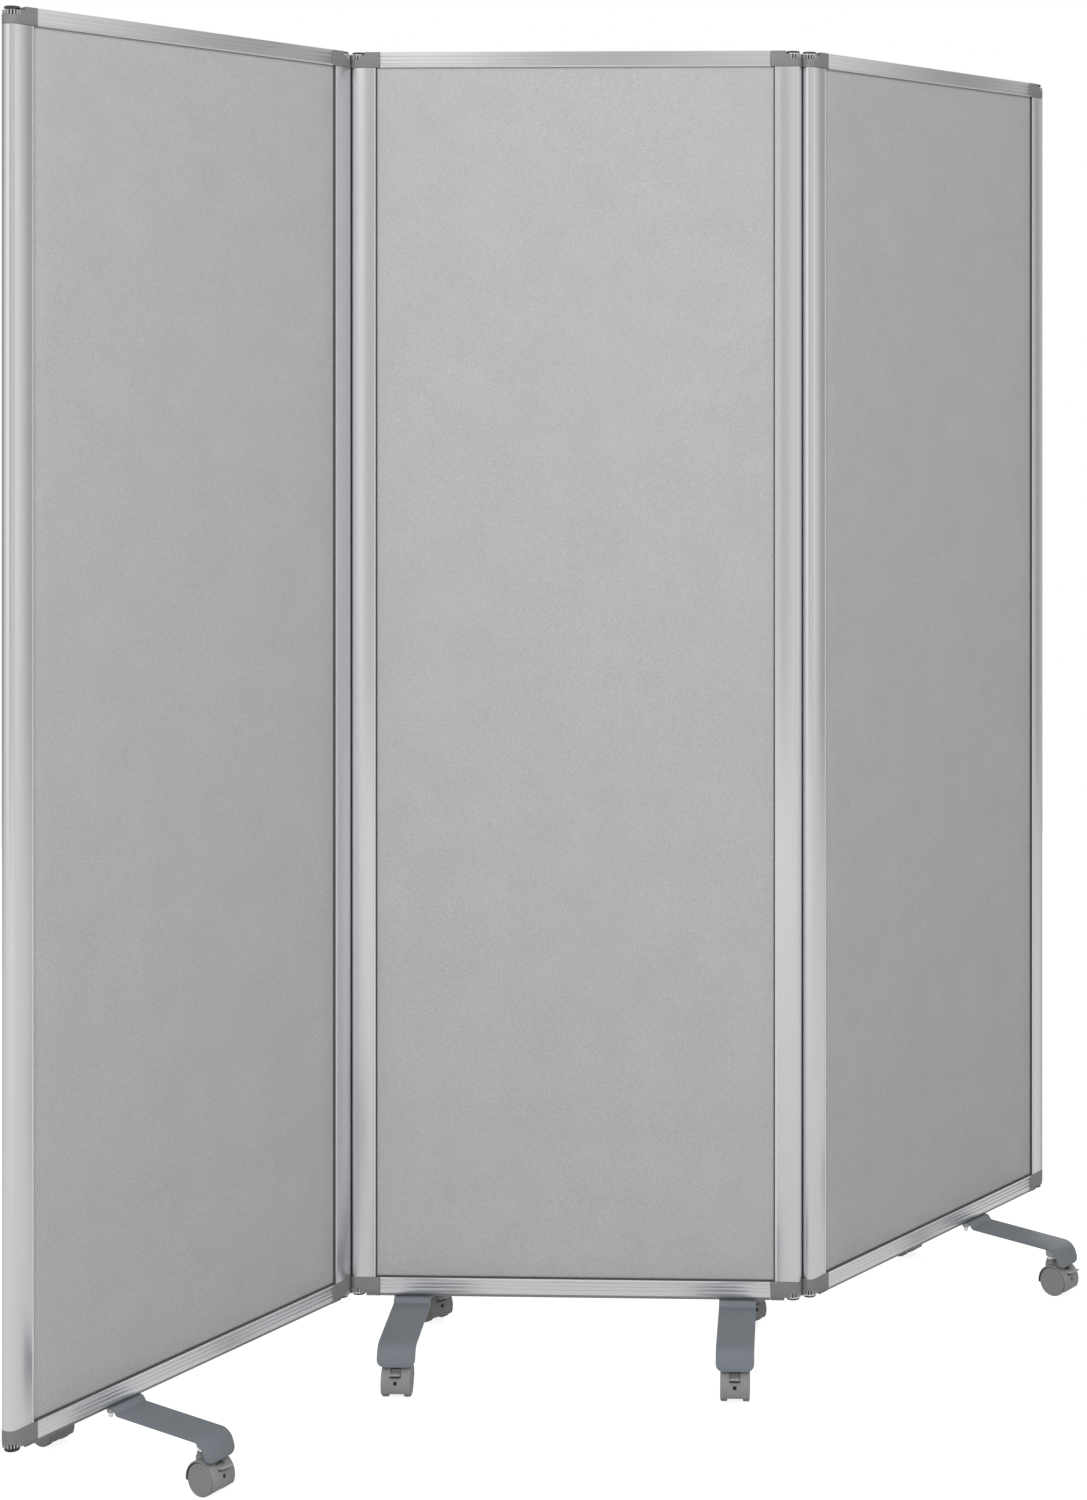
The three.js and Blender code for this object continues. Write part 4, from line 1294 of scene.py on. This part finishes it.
def add_floor():
    """Pale floor that is white to the camera and keeps the shadow."""
    disc = bpy.data.meshes.new("floor")
    disc.from_pydata([(u, v, 0) for u, v in circle(FLOOR_RADIUS)], [], [list(range(SIDES))])
    floor = bpy.data.objects.new("floor", disc)
    bpy.context.scene.collection.objects.link(floor)
    material, tree, shader, _ = surface(
        "pale_floor", Base_Color=(*(FLOOR_COLOUR,) * 3, 1), Roughness=0.9,
        Specular_IOR_Level=0.0, Emission_Color=(1, 1, 1, 1),
    )
    path = node(tree, "ShaderNodeLightPath").outputs
    seen = calculated(tree, "MAXIMUM", path["Is Camera Ray"], path["Is Transmission Ray"])
    mirrored = calculated(tree, "MULTIPLY", path["Is Glossy Ray"], FLOOR_MIRRORED)
    shown = calculated(tree, "MAXIMUM", seen, mirrored)
    glow = calculated(tree, "MULTIPLY", shown, FLOOR_GLOW)
    tree.links.new(glow, shader.inputs["Emission Strength"])
    disc.materials.append(material)


def add_world():
    """White studio: white to the camera, an even fill for dull surfaces, soft boxes for gloss."""
    world = bpy.data.worlds.new("studio")
    bpy.context.scene.world = world
    world.use_nodes = True
    tree = world.node_tree
    way = node(tree, "ShaderNodeTexCoord").outputs["Generated"]
    axes = node(tree, "ShaderNodeSeparateXYZ", {0: way}).outputs
    turn = calculated(tree, "ARCTAN2", axes["Y"], axes["X"])
    share = calculated(tree, "FRACT", calculated(tree, "DIVIDE", turn, 2 * math.pi), 0.0)
    ramp = node(tree, "ShaderNodeValToRGB", {0: share})
    stops = ramp.color_ramp.elements
    while len(stops) < len(STUDIO):
        stops.new(0.5)
    for stop, (degrees, level) in zip(stops, STUDIO):
        stop.position = degrees / 360
        stop.color = (level, level, level, 1)
    lift = spread(tree, axes["Z"], 0.0, 1.0, *HORIZON)
    boxes = tinted(tree, lift, (BELOW_HORIZON,) * 3, (1, 1, 1))
    tree.links.new(ramp.outputs[0], boxes.node.inputs[7])
    path = node(tree, "ShaderNodeLightPath").outputs
    seen = calculated(tree, "MAXIMUM", path["Is Camera Ray"], path["Is Transmission Ray"])
    dull = tinted(tree, path["Is Glossy Ray"], (FILL,) * 3, (1, 1, 1))
    tree.links.new(boxes, dull.node.inputs[7])
    shown = tinted(tree, seen, (0, 0, 0), (1, 1, 1))
    tree.links.new(dull, shown.node.inputs[6])
    tree.links.new(shown, tree.nodes["Background"].inputs["Color"])


def add_lamp(name, place, power):
    """Soft square lamp that metal doesn't show, since it shows the studio's soft boxes."""
    lamp = bpy.data.lights.new(name, "AREA")
    lamp.size = LAMP_SIZE
    lamp.energy = power
    holder = bpy.data.objects.new(name, lamp)
    bpy.context.scene.collection.objects.link(holder)
    holder.location = place
    holder.rotation_mode = "QUATERNION"
    holder.rotation_quaternion = (Vector(LAMP_TARGET) - Vector(place)).to_track_quat("-Z", "Y")
    holder.visible_glossy = False


def add_camera():
    lens = bpy.data.cameras.new("camera")
    lens.lens = CAMERA_LENS
    lens.shift_x, lens.shift_y = CAMERA_SHIFT
    lens.clip_end = CAMERA_FAR
    camera = bpy.data.objects.new("camera", lens)
    bpy.context.scene.collection.objects.link(camera)
    camera.location = CAMERA_PLACE
    camera.rotation_euler = (math.radians(90), 0, math.radians(CAMERA_YAW))
    bpy.context.scene.camera = camera


add_floor()
add_world()
add_lamp("key_lamp", (0.1, -3.6, 2.6), 87.0)
add_lamp("back_lamp", (0.0, 3.6, 2.4), 30.0)
add_camera()
bpy.context.scene.view_settings.view_transform = "Standard"
